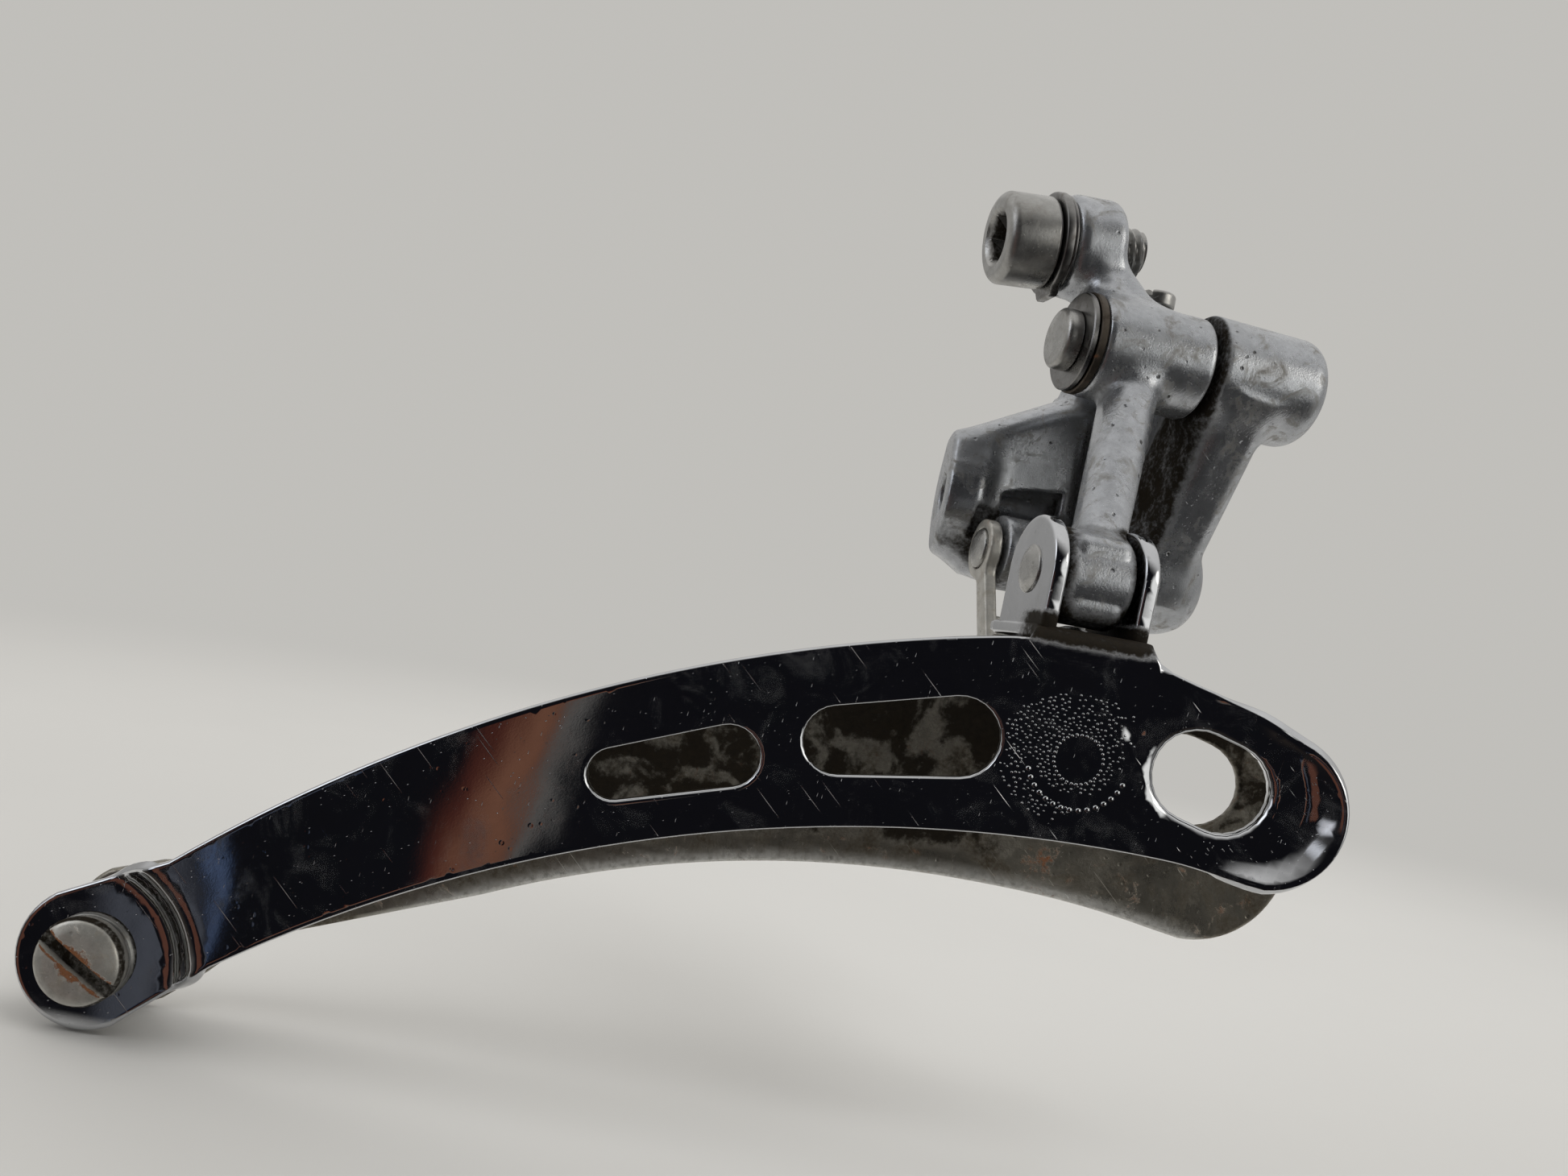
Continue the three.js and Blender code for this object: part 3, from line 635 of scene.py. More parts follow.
def lay_folded(flat):
    """The outer plate with its bridge folded inboard over the fold radius."""
    outer, normal = lay_flat(outer_depth)(flat)
    start = BRIDGE_TOP - FOLD_RADIUS
    beyond = (flat[:, 1] - start) / FOLD_RADIUS
    folds = (beyond > 0) & (flat[:, 0] > 17) & (flat[:, 0] < 29.6)
    angle = np.clip(beyond, 0, math.pi / 2)
    straight = np.maximum(0, flat[:, 1] - start - FOLD_RADIUS * math.pi / 2)
    y = FOLD_RADIUS * (1 - np.cos(angle)) + straight
    z = start + FOLD_RADIUS * np.sin(angle)
    outer[folds, 1], outer[folds, 2] = y[folds], z[folds]
    normal[folds] = np.stack([np.zeros_like(angle), np.cos(angle), -np.sin(angle)], axis=1)[folds]
    return outer, normal


def bead(x, z, radius, height, sides=7):
    """A low dome on the outer plate's face, closed and sunk a little into it."""
    rings = []
    for wide, high in ((1.0, -0.05), (0.96, 0.3 * height), (0.6, 0.8 * height), (0.0, height)):
        at_x, at_z = ((x, z) + wide * radius * circle(sides if wide else 1)).T
        rings.append(np.stack([at_x, outer_depth(at_x, at_z) - high, at_z], axis=1))
    return loft(rings, capped=True)


def stippled_patch():
    """Small beads scattered over the nose end, thinning outwards, round a plain beaded ring."""
    rng = np.random.default_rng(7)
    x, z = STIPPLE_CENTRE

    def spot(far, turn, squeeze=1.0):
        return np.array([x + far * math.cos(turn), z + squeeze * far * math.sin(turn)])

    beads = [bead(*spot(STIPPLE_RING, turn), 0.13, 0.08) for turn in np.arange(0, 6.2, 0.2)]
    beads += [bead(*spot(STIPPLE_ARC, turn), 0.22, 0.12, 10) for turn in np.radians(range(200, 341, 10))]
    placed_at = []
    while len(placed_at) < STIPPLE_COUNT:
        turn, far = rng.uniform(0, 2 * math.pi), rng.uniform(2.3, 6.4)
        at = spot(far, turn, 0.8)
        ringed = abs(far - STIPPLE_ARC) < 0.5 and math.radians(192) < turn < math.radians(348)
        off_plate = capsule_field(*at, *SLOT_FRONT, 3.6) < 0 or capsule_field(*at, *NOSE_HOLE, 5.0) < 0
        if ringed or off_plate or rng.uniform() > 1.1 - far / 6.5 + 0.5 * math.cos(turn - 2.8):
            continue
        if placed_at and min(np.hypot(*(np.array(placed_at) - at).T)) < 0.27:
            continue
        placed_at.append(at)
        beads.append(bead(*at, rng.uniform(0.07, 0.115), rng.uniform(0.05, 0.07)))
    return beads


def outer_cage_plate():
    fold = BRIDGE_TOP - FOLD_RADIUS
    reach = fold + FOLD_RADIUS * math.pi / 2 - FOLD_RADIUS  # flat distance less the depth it reaches
    outline = np.vstack([
        edge(OUTER_LOWER_EDGE, -38, 39.8, 40),
        arc(*OUTER_NOSE[:2], OUTER_NOSE[2], -84, 72, 26),
        [[37.6, -1.2], [34.0, 0.1], [30.6, 1.0], [29.6, 1.5], [29.1, 2.4]],
        [[29.0, reach + 2.0], [27.4, reach + 11.3], [18.0, reach + 11.3], [18.8, reach + 6.0]],
        [[19.6, reach + 2.0], [19.7, reach + 0.6], [19.3, 1.75]],
        edge(TOP_EDGE, 18.4, -42.6, 40),
        arc(*OUTER_TAIL[:2], OUTER_TAIL[2], 125, 300, 26),
    ])
    holes = [
        capsule_outline(NOSE_HOLE[0], 3.5, NOSE_HOLE[1], 3.5),
        capsule_outline((-10.3, -14.5), 2.0, (-1.8, -11.5), 2.4),
        capsule_outline(SLOT_FRONT[0], 2.65, SLOT_FRONT[1], 3.1),
        ring(OUTER_TAIL[0], OUTER_TAIL[1], 2.3, 28),
    ]
    v, z = LOWER_OUTER
    ear = np.vstack([[[v - 4.2, 2.1], [v + 4.8, 2.1]], arc(v, z, EAR_RADIUS, 0, 180, 28)])
    obj = make_object("cage_outer", *joined(
        pressed_shell(outline, holes, lay_folded, 0.75),
        *(pressed_shell(ear, [], lay_across_u(u - EAR_THICK / 2), 0.6, EAR_THICK, 0.28)
          for u in (EAR_REAR, EAR_FRONT)),
        *stippled_patch(),
    ))
    x, y, z = drawing_points(obj).T
    across = smooth((x - 18.5) / 1.5) * smooth((30 - x) / 1.5)
    fold = smooth((z - 1.0) / 0.8) * smooth((4.6 - z) / 1.2)
    # Darker across the bridge's fold between the ears.
    mark_vertices(obj, 1.3 * across * fold * smooth((y + 0.4) / 0.6))
    keep_flats(obj)
    return obj


def inner_cage_plate():
    outline = np.vstack([
        edge(INNER_LOWER_EDGE, -20.9, 36.5, 30),
        arc(*INNER_NOSE[:2], INNER_NOSE[2], -90, 8, 20),
        [[46.8, -8.4], [44.6, -5.2], [41.0, -3.0], [33.0, 0.9], [29.0, 1.6], [18.6, 1.6], [17.8, 0.9]],
        edge(TOP_EDGE, 16, -42.6, 36, -1.0),
        arc(*INNER_TAIL[:2], INNER_TAIL[2], 125, 300, 26),
        [[-38.2, -35.4]],
    ])
    holes = [
        capsule_outline((36.4, -7.6), 3.7, (37.9, -8.0), 3.7),
        np.array([[20.4, LUG_FLOOR], [30.8, LUG_FLOOR], [30.8, LUG_SILL], [20.4, LUG_SILL]]),
        ring(INNER_TAIL[0], INNER_TAIL[1], 2.7, 28),
    ]
    v, z = LOWER_INNER
    lugs = []
    for u in (LUG_REAR, LUG_FRONT):
        foot = CAGE_INNER_Y / math.cos(SKEW) - u * math.tan(SKEW) + 0.4
        loop = np.vstack([[[foot, LUG_FLOOR]], arc(v, z, LUG_RADIUS, -90, 90, 18), [[foot, LUG_SILL]]])
        lugs.append(pressed_shell(loop, [], lay_across_u(u - LUG_THICK / 2), 0.6, LUG_THICK, 0.25))
    flange = [[18.8, 6.8], [28.0, 6.8], [28.0, CAGE_INNER_Y + 0.8], [18.8, CAGE_INNER_Y + 0.8]]
    level = lay_plane((0, 0, BRIDGE_TOP - PLATE - 0.05), (1, 0, 0), (0, 1, 0), (0, 0, -1))
    obj = make_object("cage_inner", *joined(
        pressed_shell(outline, holes, lay_flat(inner_depth), 0.9, PLATE, 0.42),
        pressed_shell(flange, [], level, 0.8),
        *lugs,
    ))
    x, y, z = drawing_points(obj).T
    cx, cz, r = INNER_LOWER_EDGE
    above_edge = np.hypot(x - cx, z - cz) - r
    off_tail = smooth((x + 42) / 3)
    nose = smooth((x - 24) / 6) * smooth((-7 - z) / 4) * 0.35
    # Darker over the plate's upper part, towards the front.
    top_rim = 0.5 * smooth((z + 4) / 3) * smooth((x + 20) / 20)
    facing_in = smooth((CAGE_INNER_Y + 0.4 - y) / 0.4)
    # Painted shade from the outer plate, with grime, over the inboard face above the lower rim.
    inside_shade_and_grime = 1.05 * smooth((above_edge - 0.9) / 3.0) * facing_in * off_tail
    mark_vertices(obj, np.maximum(np.maximum(nose, top_rim), inside_shade_and_grime))
    # The lower rim turns light and less metallic: wear, and a painted highlight along it.
    mark_vertices(obj, smooth((1.5 - above_edge) / 1.3) * off_tail, "worn_and_sheen")
    mark_vertices(obj, 0.55 * np.exp(-((x - 27) / 5) ** 2 - ((z + 17) / 2.5) ** 2) * (y < CAGE_INNER_Y + 0.6), "rust")
    keep_flats(obj)
    return obj


# ---------- cast arm and body
def cast_object(name, field, low, high, step, reach, dirt_and_shade):
    """An object on a field's zero level, given in the skewed frame. A function of its points and crevices
    marks dirt and painted shade on it.
    """
    verts, faces = surface_of(field, low, high, step)
    obj = make_object(name, skewed_to_drawing(verts), faces)
    mark_vertices(obj, np.clip(dirt_and_shade(verts, cavity_of(field, verts, reach)), 0, 1))
    return obj


def outer_arm_field(p):
    v1, v0, z0 = UPPER_OUTER[0], *LOWER_OUTER
    from_anchor = seen_from(p, *ANCHOR_FRAME)
    knuckle = drum(p, UPPER_OUTER, KNUCKLE[:2], KNUCKLE[2], 0.45)
    barrel = np.minimum(
        drum(p, LOWER_OUTER, BARREL[:2], BARREL[2], 0.4),
        block(p, (BARREL[0], v0 - 3.5, z0 - 3.5), (BARREL[1], v0 + 3.5, z0 + 3.5), 1.3),
    )
    limb = beam(p, (31.4, 12.9, 28.4), (25.0, 0.7, 7.4), (2.4, 2.1), (2.7, 2.4), 2.05)
    neck = beam(p, (31.2, 13.4, 30.2), (26.7, 17.7, 38.4), (3.3, 2.3), (2.9, 2.7), 2.0)
    eye = drum(from_anchor, (0, 0), (-2.6, 2.6), (4.8, 4.6), 1.1)
    lug = block(p, (34.95, v1, 27.4), (36.9, 22.0, 31.0), 0.5)
    arm = union(1.3, knuckle, limb)
    for blend_radius, form in ((1.0, barrel), (1.6, neck), (1.2, eye), (0.8, lug)):
        arm = union(blend_radius, arm, form)
    for bore in (
        drum(from_anchor, (0, 0), (-9, 9), 2.6, 0.1),
        drum(p, UPPER_OUTER, (30.4, 60), 3.9, 0.3),
        drum(p, UPPER_OUTER, (20, 60), PIVOT_BORE, 0.1),
        drum(p, LOWER_OUTER, (15, 40), INNER_BORE, 0.1),
    ):
        arm = minus(arm, bore)
    return arm


def outer_arm_dirt_and_shade(p, crevices):
    u, _, z = p.T
    z0 = LOWER_OUTER[1]
    on_barrel = smooth((12.6 - z) / 1.6)
    ends = np.exp(-((u - BARREL[0]) / 0.9) ** 2) + np.exp(-((u - BARREL[1]) / 0.7) ** 2)
    # Darker on the barrel's underside.
    under = smooth((z0 - 1.4 - z) / 2.4)
    # Darker in a band where the limb rises from the barrel.
    root = np.exp(-((z - z0 - 4.3) / 0.9) ** 2) * 0.7
    seam = np.exp(-((u - KNUCKLE[1]) / 0.25) ** 2) * 0.8
    # Crevices darken with dirt and painted shade; the seam is a dark joint.
    return np.maximum(crevices, on_barrel * (0.9 * ends + 0.8 * under + root)) + seam


# the body's flat walls: SIDE in (v, z), the others in (u, z)
SIDE = [[12.8, 33.6], [26, 34.2], [31.2, 31], [31.2, 6.5], [26, 4.9], [21, 5.2], [19, 12], [14.5, 24]]
WALL = [[20.6, 9.6], [24.0, 7.4], [41.0, 5.0], [43.4, 8], [44.2, 24], [43.6, 32.0], [38.4, 34.6],
        [31.4, 34.0], [31.0, 26.6], [20.2, 20.8], [19.4, 12.0]]
FRONT = [[19.2, 12.4], [19.4, 20.6], [31.0, 26.6], [34.0, 26.6], [34.0, 13.8], [24.0, 12.6]]
RIB = [[35.6, 14], [39.6, 14], [39.6, 34.4], [36.6, 34.4]]
POCKET = [[24.6, 11.6], [38.6, 9.4], [40.8, 11.4], [41.4, 24.6], [38.2, 26.6], [33.6, 24.4], [32.4, 22.4],
          [24.4, 17.8]]


def body_field(p):
    v1, z1 = UPPER_OUTER
    v2, z2 = UPPER_INNER
    boss = rounded_corner(drum(p, UPPER_OUTER, (34.0, 48.7), (5.35, 5.05), 1.9), BOSS_FACE - p[:, 0], 0.35)
    strut = beam(p, (41.6, v1 + 0.4, z1 - 1), (39.8, v2, z2), (3.1, 3.4), (4.7, 4.6), 2.2)
    foot = drum(p, UPPER_INNER, (34.7, 45.0), (5.0, 4.6), 2.0)
    side = slab(p, 0, (38.6, 43.0), SIDE, 1.4)
    wall = slab(p, 1, (26.4, 31.2), WALL, 1.9)
    front = slab(p, 1, (24.3, 29.0), FRONT, 1.9)
    tab = block(p, (31.4, 25.0, 24), (36.0, 28.4, 34.0), 0.9)
    inner_boss = drum(p, UPPER_INNER, (24.4, 32.6), 3.6, 0.4)
    inner_web = block(p, (24.4, v2, z2 - 2.4), (32.6, 27.5, z2 + 2.4), 0.8)
    shelf = block(p, (34.2, 17.4, 32.2), (41.0, 28.0, 34.6), 0.7)
    rib = slab(p, 1, (23.4, 27.5), RIB, 0.8)
    relief = block(p, (30.0, 28.4, 27.6), (36.4, 40, 40), 0.8)
    pocket = slab(p, 1, (30.4, 40), POCKET, 0.5)
    d = skewed_to_drawing(p)
    pad = slab(d, 0, (11.0, 17.6), capsule_outline(PAD_HOLE, 4.6, (32.8, 15.0), 4.6), 0.8)
    body = union(1.6, wall, side, front)
    body = union(1.8, body, strut, foot)
    body = union(1.6, body, boss)
    body = union(0.9, body, tab, shelf, rib, inner_web, inner_boss)
    body = minus(body, relief, 0.8)
    body = minus(body, pocket, 0.5)
    body = union(3.2, body, pad)
    body = rounded_corner(body, PAD_FACE - d[:, 0], 0.5)
    for bore in (
        drum(p, UPPER_OUTER, (30, 45.9), PIVOT_BORE, 0.1),
        drum(p, UPPER_INNER, (15, 42.6), INNER_BORE, 0.1),
        drum(p[:, [2, 0, 1]], LOW_SCREW, (20, 60), SCREW_BORE, 0.1),
        drum(p[:, [1, 0, 2]], HIGH_SCREW, (10, 40), SCREW_BORE, 0.1),
        drum(d, PAD_HOLE, (8, 26), PAD_BORE, 0.1),
    ):
        body = minus(body, bore)
    for arm_sweep in (
        drum(p, UPPER_OUTER, (22.0, 37.25), 4.95, 0.2),
        block(p, (22.4, 17.4, 2.0), (24.2, 24.4, 14.0), 0.3),
        block(p, (32.75, 15.0, 2.0), (34.5, 25.0, 14.0), 0.3),
    ):
        body = minus(body, arm_sweep, 0.3)
    return body


def body_dirt_and_shade(p, crevices):
    u, v, z = p.T
    seam = np.exp(-((u - BOSS_FACE) / 0.3) ** 2) * smooth((18.0 - v) / 3) * 0.8
    # Darker in the hollow low on the body's front.
    hollow = smooth((27.5 - v) / 2) * smooth((v - 17) / 3) * smooth((38.8 - u) / 2) * smooth((16 - z) / 8)
    # Painted shade in the deep gap behind the limb, next to the strut.
    shade_behind_limb = smooth((39.4 - u) / 2.0) * smooth(u - 35) * smooth((27 - z) / 3) * smooth((z - 10) / 3)
    shade_behind_limb *= smooth((29.0 - v) / 2)
    # Crevices darken with dirt and painted shade; the seam is a dark joint.
    return 0.8 * np.clip(crevices, 0, 1) + seam + np.maximum(0.6 * hollow, 0.95 * shade_behind_limb)


def inner_arm_field(p):
    top, low = np.array(UPPER_INNER), np.array(LOWER_INNER)
    reach = (low - top) / np.linalg.norm(low - top)
    side = np.array([-reach[1], reach[0]])
    length = np.linalg.norm(low - top)
    flat = p[:, 1:] - top
    s, t = flat @ reach, flat @ side
    stem = np.maximum(np.abs(t) - 1.05, np.maximum(-s, s - length))
    profile = union(0.9, np.hypot(s, t) - 2.9, stem, np.hypot(s - length, t) - 2.3)
    across = (np.abs(p[:, 0] - u) - CHANNEL_THICK / 2 for u in (CHANNEL_REAR, CHANNEL_FRONT))
    flanges = np.minimum(*(rounded_corner(profile, distance, 0.2) for distance in across))
    web = rounded_corner(np.abs(t - 0.65) - 0.6, np.abs(s - (length + 3) / 2) - (length - 11) / 2, 0.2)
    web = np.maximum(web, outside_span(p[:, 0], (CHANNEL_REAR, CHANNEL_FRONT)))
    arm = union(0.7, flanges, web)
    arm = minus(arm, drum(p, UPPER_INNER, (15, 40), 1.98, 0.05), 0.15)
    return minus(arm, drum(p, LOWER_INNER, (15, 40), 1.4, 0.05), 0.15)


def outer_arm():
    low, high, step = (20.6, -4.4, 2.2), (38.0, 24.0, 45.4), 0.24
    return cast_object("arm_outer", outer_arm_field, low, high, step, 1.3, outer_arm_dirt_and_shade)


def bracket_body():
    low, high, step = (17.6, 6.2, 3.2), (50.0, 37.4, 36.2), 0.3
    return cast_object("body_casting", body_field, low, high, step, 1.8, body_dirt_and_shade)


def inner_arm():
    low, high, step = (22.0, 5.8, -15.2), (34.9, 24.7, 13.4), 0.19
    # Its crevices darken with dirt and painted shade.
    return cast_object("arm_inner", inner_arm_field, low, high, step, 1.0, lambda p, crevices: crevices)


# ---------- pins, washers, screws, springs
def turned(name, frame, steps, rounding=0.18, sides=56, sharp=35):
    """An object turned about a frame's first axis."""
    verts, faces = turned_shell(rounded_profile(steps, rounding), sides)
    return make_object(name, placed(verts, *frame), faces, sharp)


def outer_pivot_pin():
    steps = [[23.2, 0], [23.2, 2.45], [23.5, 2.78], [24.75, 2.78], [24.75, 2.35], [45.6, 2.35], [45.6, 0]]
    return turned("pin_upper_outer", pivot_frame(UPPER_OUTER), steps)


def inner_pivot_pin():
    steps = [[22.3, 0], [22.35, 1.2], [22.6, 1.9], [42.2, 1.92], [42.2, 0]]
    return turned("pin_upper_inner", pivot_frame(UPPER_INNER), steps)


def pivot_washer(name, low, high, radius, hole=2.5):
    steps = [[low, hole], [low, radius - 0.12], [low + 0.1, radius], [high - 0.1, radius],
             [high, radius - 0.12], [high, hole]]
    verts, faces = turned_shell(steps, 64, looped=True)
    return make_object(name, placed(verts, *pivot_frame(UPPER_OUTER)), faces, sharp=35)


def riveted(name, start, end, shank, head, axis):
    """A pin with both its ends riveted over."""
    near = [[0, 0], [0.02, head * 0.6], [0.3, head], [0.62, head], [0.64, shank]]
    steps = [[start + a, r] for a, r in near] + [[end - a, r] for a, r in near[::-1]]
    return turned(name, pivot_frame(axis), steps)


def cage_rivet(name, x, y):
    top = BRIDGE_TOP - 0.02
    under = BRIDGE_TOP - 2 * PLATE - 0.06
    steps = [[under - 0.5, 0], [under - 0.45, 0.7], [under - 0.2, 1.4], [under, 1.5], [under, 1.0],
             [top, 1.0], [top, 1.5], [top + 0.2, 1.4], [top + 0.48, 0.7], [top + 0.52, 0]]
    return turned(name, ((0, 0, 1), (1, 0, 0), (x, y, 0)), steps, 0.1, 36, 40)


def tail_spacer():
    x, z = (OUTER_TAIL[0] + INNER_TAIL[0]) / 2, (OUTER_TAIL[1] + INNER_TAIL[1]) / 2
    low, high = OUTER_TAIL_STEP + PLATE, CAGE_INNER_Y + INNER_TAIL_STEP
    far = high + PLATE
    steps = [[low, 0], [low, 4.0], [low + 0.25, 4.2], [high - 0.25, 4.2], [high, 4.0], [high, 2.55],
             [far, 2.55], [far, 3.35], [far + 0.5, 3.05], [far + 0.85, 1.9], [far + 0.75, 0]]
    return turned("spacer_tail", ((0, 1, 0), (1, 0, 0), (x, 0, z)), steps, 0.12)


def carve_shell(obj, frame, shell):
    verts, faces = shell
    carve(obj, make_object("cutter", placed(verts, *frame), faces))


def box_shell(size):
    sx, sy, sz = (s / 2 for s in size)
    corners = [(x, y, z) for x in (-sx, sx) for y in (-sy, sy) for z in (-sz, sz)]
    faces = [(0, 1, 3, 2), (4, 6, 7, 5), (0, 4, 5, 1), (2, 3, 7, 6), (0, 2, 6, 4), (1, 5, 7, 3)]
    return outward(corners, faces)


def add_shell(obj, frame, shell):
    """Adds a closed shell to an object."""
    verts, faces = shell
    work = bmesh.new()
    work.from_mesh(obj.data)
    made = [work.verts.new((Vector(v) + DATUM) * MM) for v in placed(verts, *frame)]
    for f in faces:
        work.faces.new([made[i] for i in f])
    work.to_mesh(obj.data)
    work.free()


def tail_screw():
    x, z, _ = OUTER_TAIL
    seat = OUTER_TAIL_STEP - 0.02
    top = seat - 1.75
    steps = [[0, 0], [0.04, 2.4], [0.35, 3.25], [0.7, 3.55], [1.75, 3.5], [1.75, 2.1], [9.2 - top, 2.1],
             [9.6 - top, 1.7], [9.6 - top, 0]]
    slot = (0, 1, 0), (math.cos(SLOT_TURN), 0, -math.sin(SLOT_TURN)), (x, top, z)
    obj = turned("screw_tail", ((0, 1, 0), (1, 0, 0), (x, top, z)), steps, 0.25, 72, None)
    carve_shell(obj, slot, box_shell((1.9, 9.0, 1.3)))
    shade(obj, 35)
    deep, _, beside_slot = seen_from(drawing_points(obj), *slot).T
    # Painted shade in the bottom of the slot.
    mark_vertices(obj, (deep > 0.5) & (deep < 1.0))
    mark_vertices(obj, 0.9 * smooth((1.1 - np.abs(beside_slot)) / 0.5) * (deep < 0.4), "rust")
    return obj


def limit_screw(name, head, length, *frame):
    """A screw along a frame's first axis, its slot along the second."""
    frame = skewed_frame(*frame)
    steps = [[0, 0], [0.03, head - 0.6], [0.22, head - 0.12], [0.45, head], [1.45, head], [1.6, head - 0.12],
             [1.6, 0]]
    obj = turned(name, frame, steps, 0.2, 48, None)
    carve_shell(obj, frame, box_shell((1.6, 6.0, 0.7)))
    add_shell(obj, frame, thread_shell(1.5, length, 1.28, 0.5, 0.2))
    shade(obj, 35)
    return obj


def lock_spring(name, *frame):
    verts, faces = coil_shell(1.55, 0.22, 1.7, 0.5)
    return make_object(name, placed(verts, *skewed_frame(*frame)), faces)


def return_spring():
    verts, faces = coil_shell(3.15, 0.42, 4.6, 1.15)
    return make_object("spring_return", placed(verts, *pivot_frame(UPPER_OUTER, 31.4)), faces)


def anchor_bolt():
    frame = skewed_frame(*ANCHOR_FRAME)
    head = [[-9.0, 0], [-9.0, 3.55], [-8.75, 3.95], [-8.35, 4.25], [-4.3, 4.25], [-4.05, 4.1], [-3.95, 0]]
    obj = turned("bolt_cable_anchor", frame, head, 0.3, 96, None)
    hexagon = 2.32 * circle(6, HEXAGON_TURN)
    carve_shell(obj, frame, loft([disc(-9.6, hexagon), disc(-6.2, hexagon)], capped=True))
    carve_shell(obj, frame, turned_shell([[-9.3, 0], [-9.3, 3.0], [-8.35, 2.05], [-8.35, 0]], 48))
    add_shell(obj, frame, thread_shell(-4.2, 5.4, 2.45, 0.8, 0.42, 48))
    shade(obj, 30)
    deep, *away = seen_from(drawing_points(obj), *frame).T
    # Painted shade inside the hex socket.
    mark_vertices(obj, (deep < -6) & (deep > -8.6) & (np.hypot(*away) < 2.6))
    return obj


def anchor_washer():
    """A thick tabbed washer with a thin spring washer against the eye."""
    along, across, origin = skewed_frame(*ANCHOR_FRAME)
    third = np.cross(along, across)
    tab = [[-1.7, -4.9], [-1.4, -5.15], [1.4, -5.15], [1.7, -4.9]]
    tabbed = np.vstack([arc(0, 0, 4.75, -66, 246, 72), tab])
    shells = []
    for loop, at, thick, rounding in ((tabbed, -3.88, 0.85, 0.16), (ring(0, 0, 4.6, 72), -2.98, 0.32, 0.1)):
        lay = lay_plane(origin + at * along, across, third, along)
        shells.append(pressed_shell(loop, [ring(0, 0, 2.55, 40)], lay, 0.6, thick, rounding))
    obj = make_object("washer_cable_anchor", *joined(*shells))
    keep_flats(obj)
    return obj


# ---------- finishes
class Graph:
    """The nodes of a material or world under construction."""

    def __init__(self, owner):
        owner.use_nodes = True
        self.owner, self.tree = owner, owner.node_tree

    def add(self, kind, **settings):
        node = self.tree.nodes.new(kind)
        for key, value in settings.items():
            setattr(node, key, value)
        return node

    def plug(self, socket, value):
        if isinstance(value, bpy.types.NodeSocket):
            self.tree.links.new(value, socket)
        else:
            socket.default_value = value

    def filled(self, kind, output, **inputs):
        """The output of a new node whose inputs are given by name."""
        node = self.add(kind)
        for key, value in inputs.items():
            self.plug(node.inputs[key], value)
        return node.outputs[output]

    def mapped(self, coords, scale, turn=(0, 0, 0)):
        scale = (scale,) * 3 if np.isscalar(scale) else scale
        return self.filled("ShaderNodeMapping", "Vector", Vector=coords, Scale=scale, Rotation=turn)

    def parts(self, vector):
        node = self.add("ShaderNodeSeparateXYZ")
        self.plug(node.inputs[0], vector)
        return node.outputs

    def noise(self, scale, detail=4.0, rough=0.55, coords=None, warp=0.0):
        return self.filled("ShaderNodeTexNoise", "Fac", Vector=coords or self.mm, Scale=scale, Detail=detail,
                           Roughness=rough, Distortion=warp)

    def cells(self, scale, coords=None):
        return self.filled("ShaderNodeTexVoronoi", "Distance", Vector=coords or self.mm, Scale=scale)

    def marked(self, kind):
        return self.add("ShaderNodeAttribute", attribute_name=kind).outputs["Fac"]

    def ramp(self, value, low, high, to_low=0.0, to_high=1.0):
        node = self.add("ShaderNodeMapRange", interpolation_type="SMOOTHSTEP")
        for socket, given in zip(node.inputs, (value, low, high, to_low, to_high)):
            self.plug(socket, given)
        return node.outputs["Result"]

    def maths(self, operation, a, b=0.0, clamp=False):
        node = self.add("ShaderNodeMath", operation=operation, use_clamp=clamp)
        self.plug(node.inputs[0], a)
        self.plug(node.inputs[1], b)
        return node.outputs[0]

    def times(self, *factors):
        first, *others = factors
        for other in others:
            first = self.maths("MULTIPLY", first, other)
        return first

    def plus(self, a, b, clamp=False):
        return self.maths("ADD", a, b, clamp)

    def less(self, a, b, clamp=False):
        return self.maths("SUBTRACT", a, b, clamp)

    def most(self, a, b):
        return self.maths("MAXIMUM", a, b)

    def blend(self, factor, a, b):
        node = self.add("ShaderNodeMix", data_type="RGBA")
        self.plug(node.inputs["Factor"], factor)
        for socket, value in ((node.inputs[6], a), (node.inputs[7], b)):
            self.plug(socket, (*value, 1) if isinstance(value, tuple) else value)
        return node.outputs[2]

    def scratches(self, width, seed):
        """Sparse fine lines running one way, each the middle of a long thin cell."""
        turned_way = self.mapped(self.mm, 1, (0.2 * seed, 0.55 + 0.9 * seed, 0.3))
        return self.ramp(self.cells(1.0, self.mapped(turned_way, (0.025, 3.2, 3.2))), width, 0.4 * width)

    def bump(self, height, distance, **normal):
        settings = {"Strength": 1.0, "Distance": distance * MM, "Height": height}
        return self.filled("ShaderNodeBump", "Normal", **settings, **normal)


def new_material(name):
    g = Graph(bpy.data.materials.new(name))
    g.shader = g.tree.nodes["Principled BSDF"]
    g.mm = g.mapped(g.add("ShaderNodeTexCoord").outputs["Object"], 1 / MM)
    return g


RUST_DARK, RUST_LIGHT = (0.10, 0.035, 0.014), (0.30, 0.12, 0.045)
# Dirt colours also paint shade in crevices, recesses and gaps; the worn colour also paints a highlight.
DIRT_AND_SHADE_DARK, DIRT_AND_SHADE_LIGHT = (0.005, 0.0045, 0.004), (0.027, 0.021, 0.014)
WORN_AND_SHEEN_COLOR, DOT_COLOR, LINE_COLOR = (0.66, 0.66, 0.64), (0.05, 0.045, 0.04), (0.9, 0.9, 0.9)


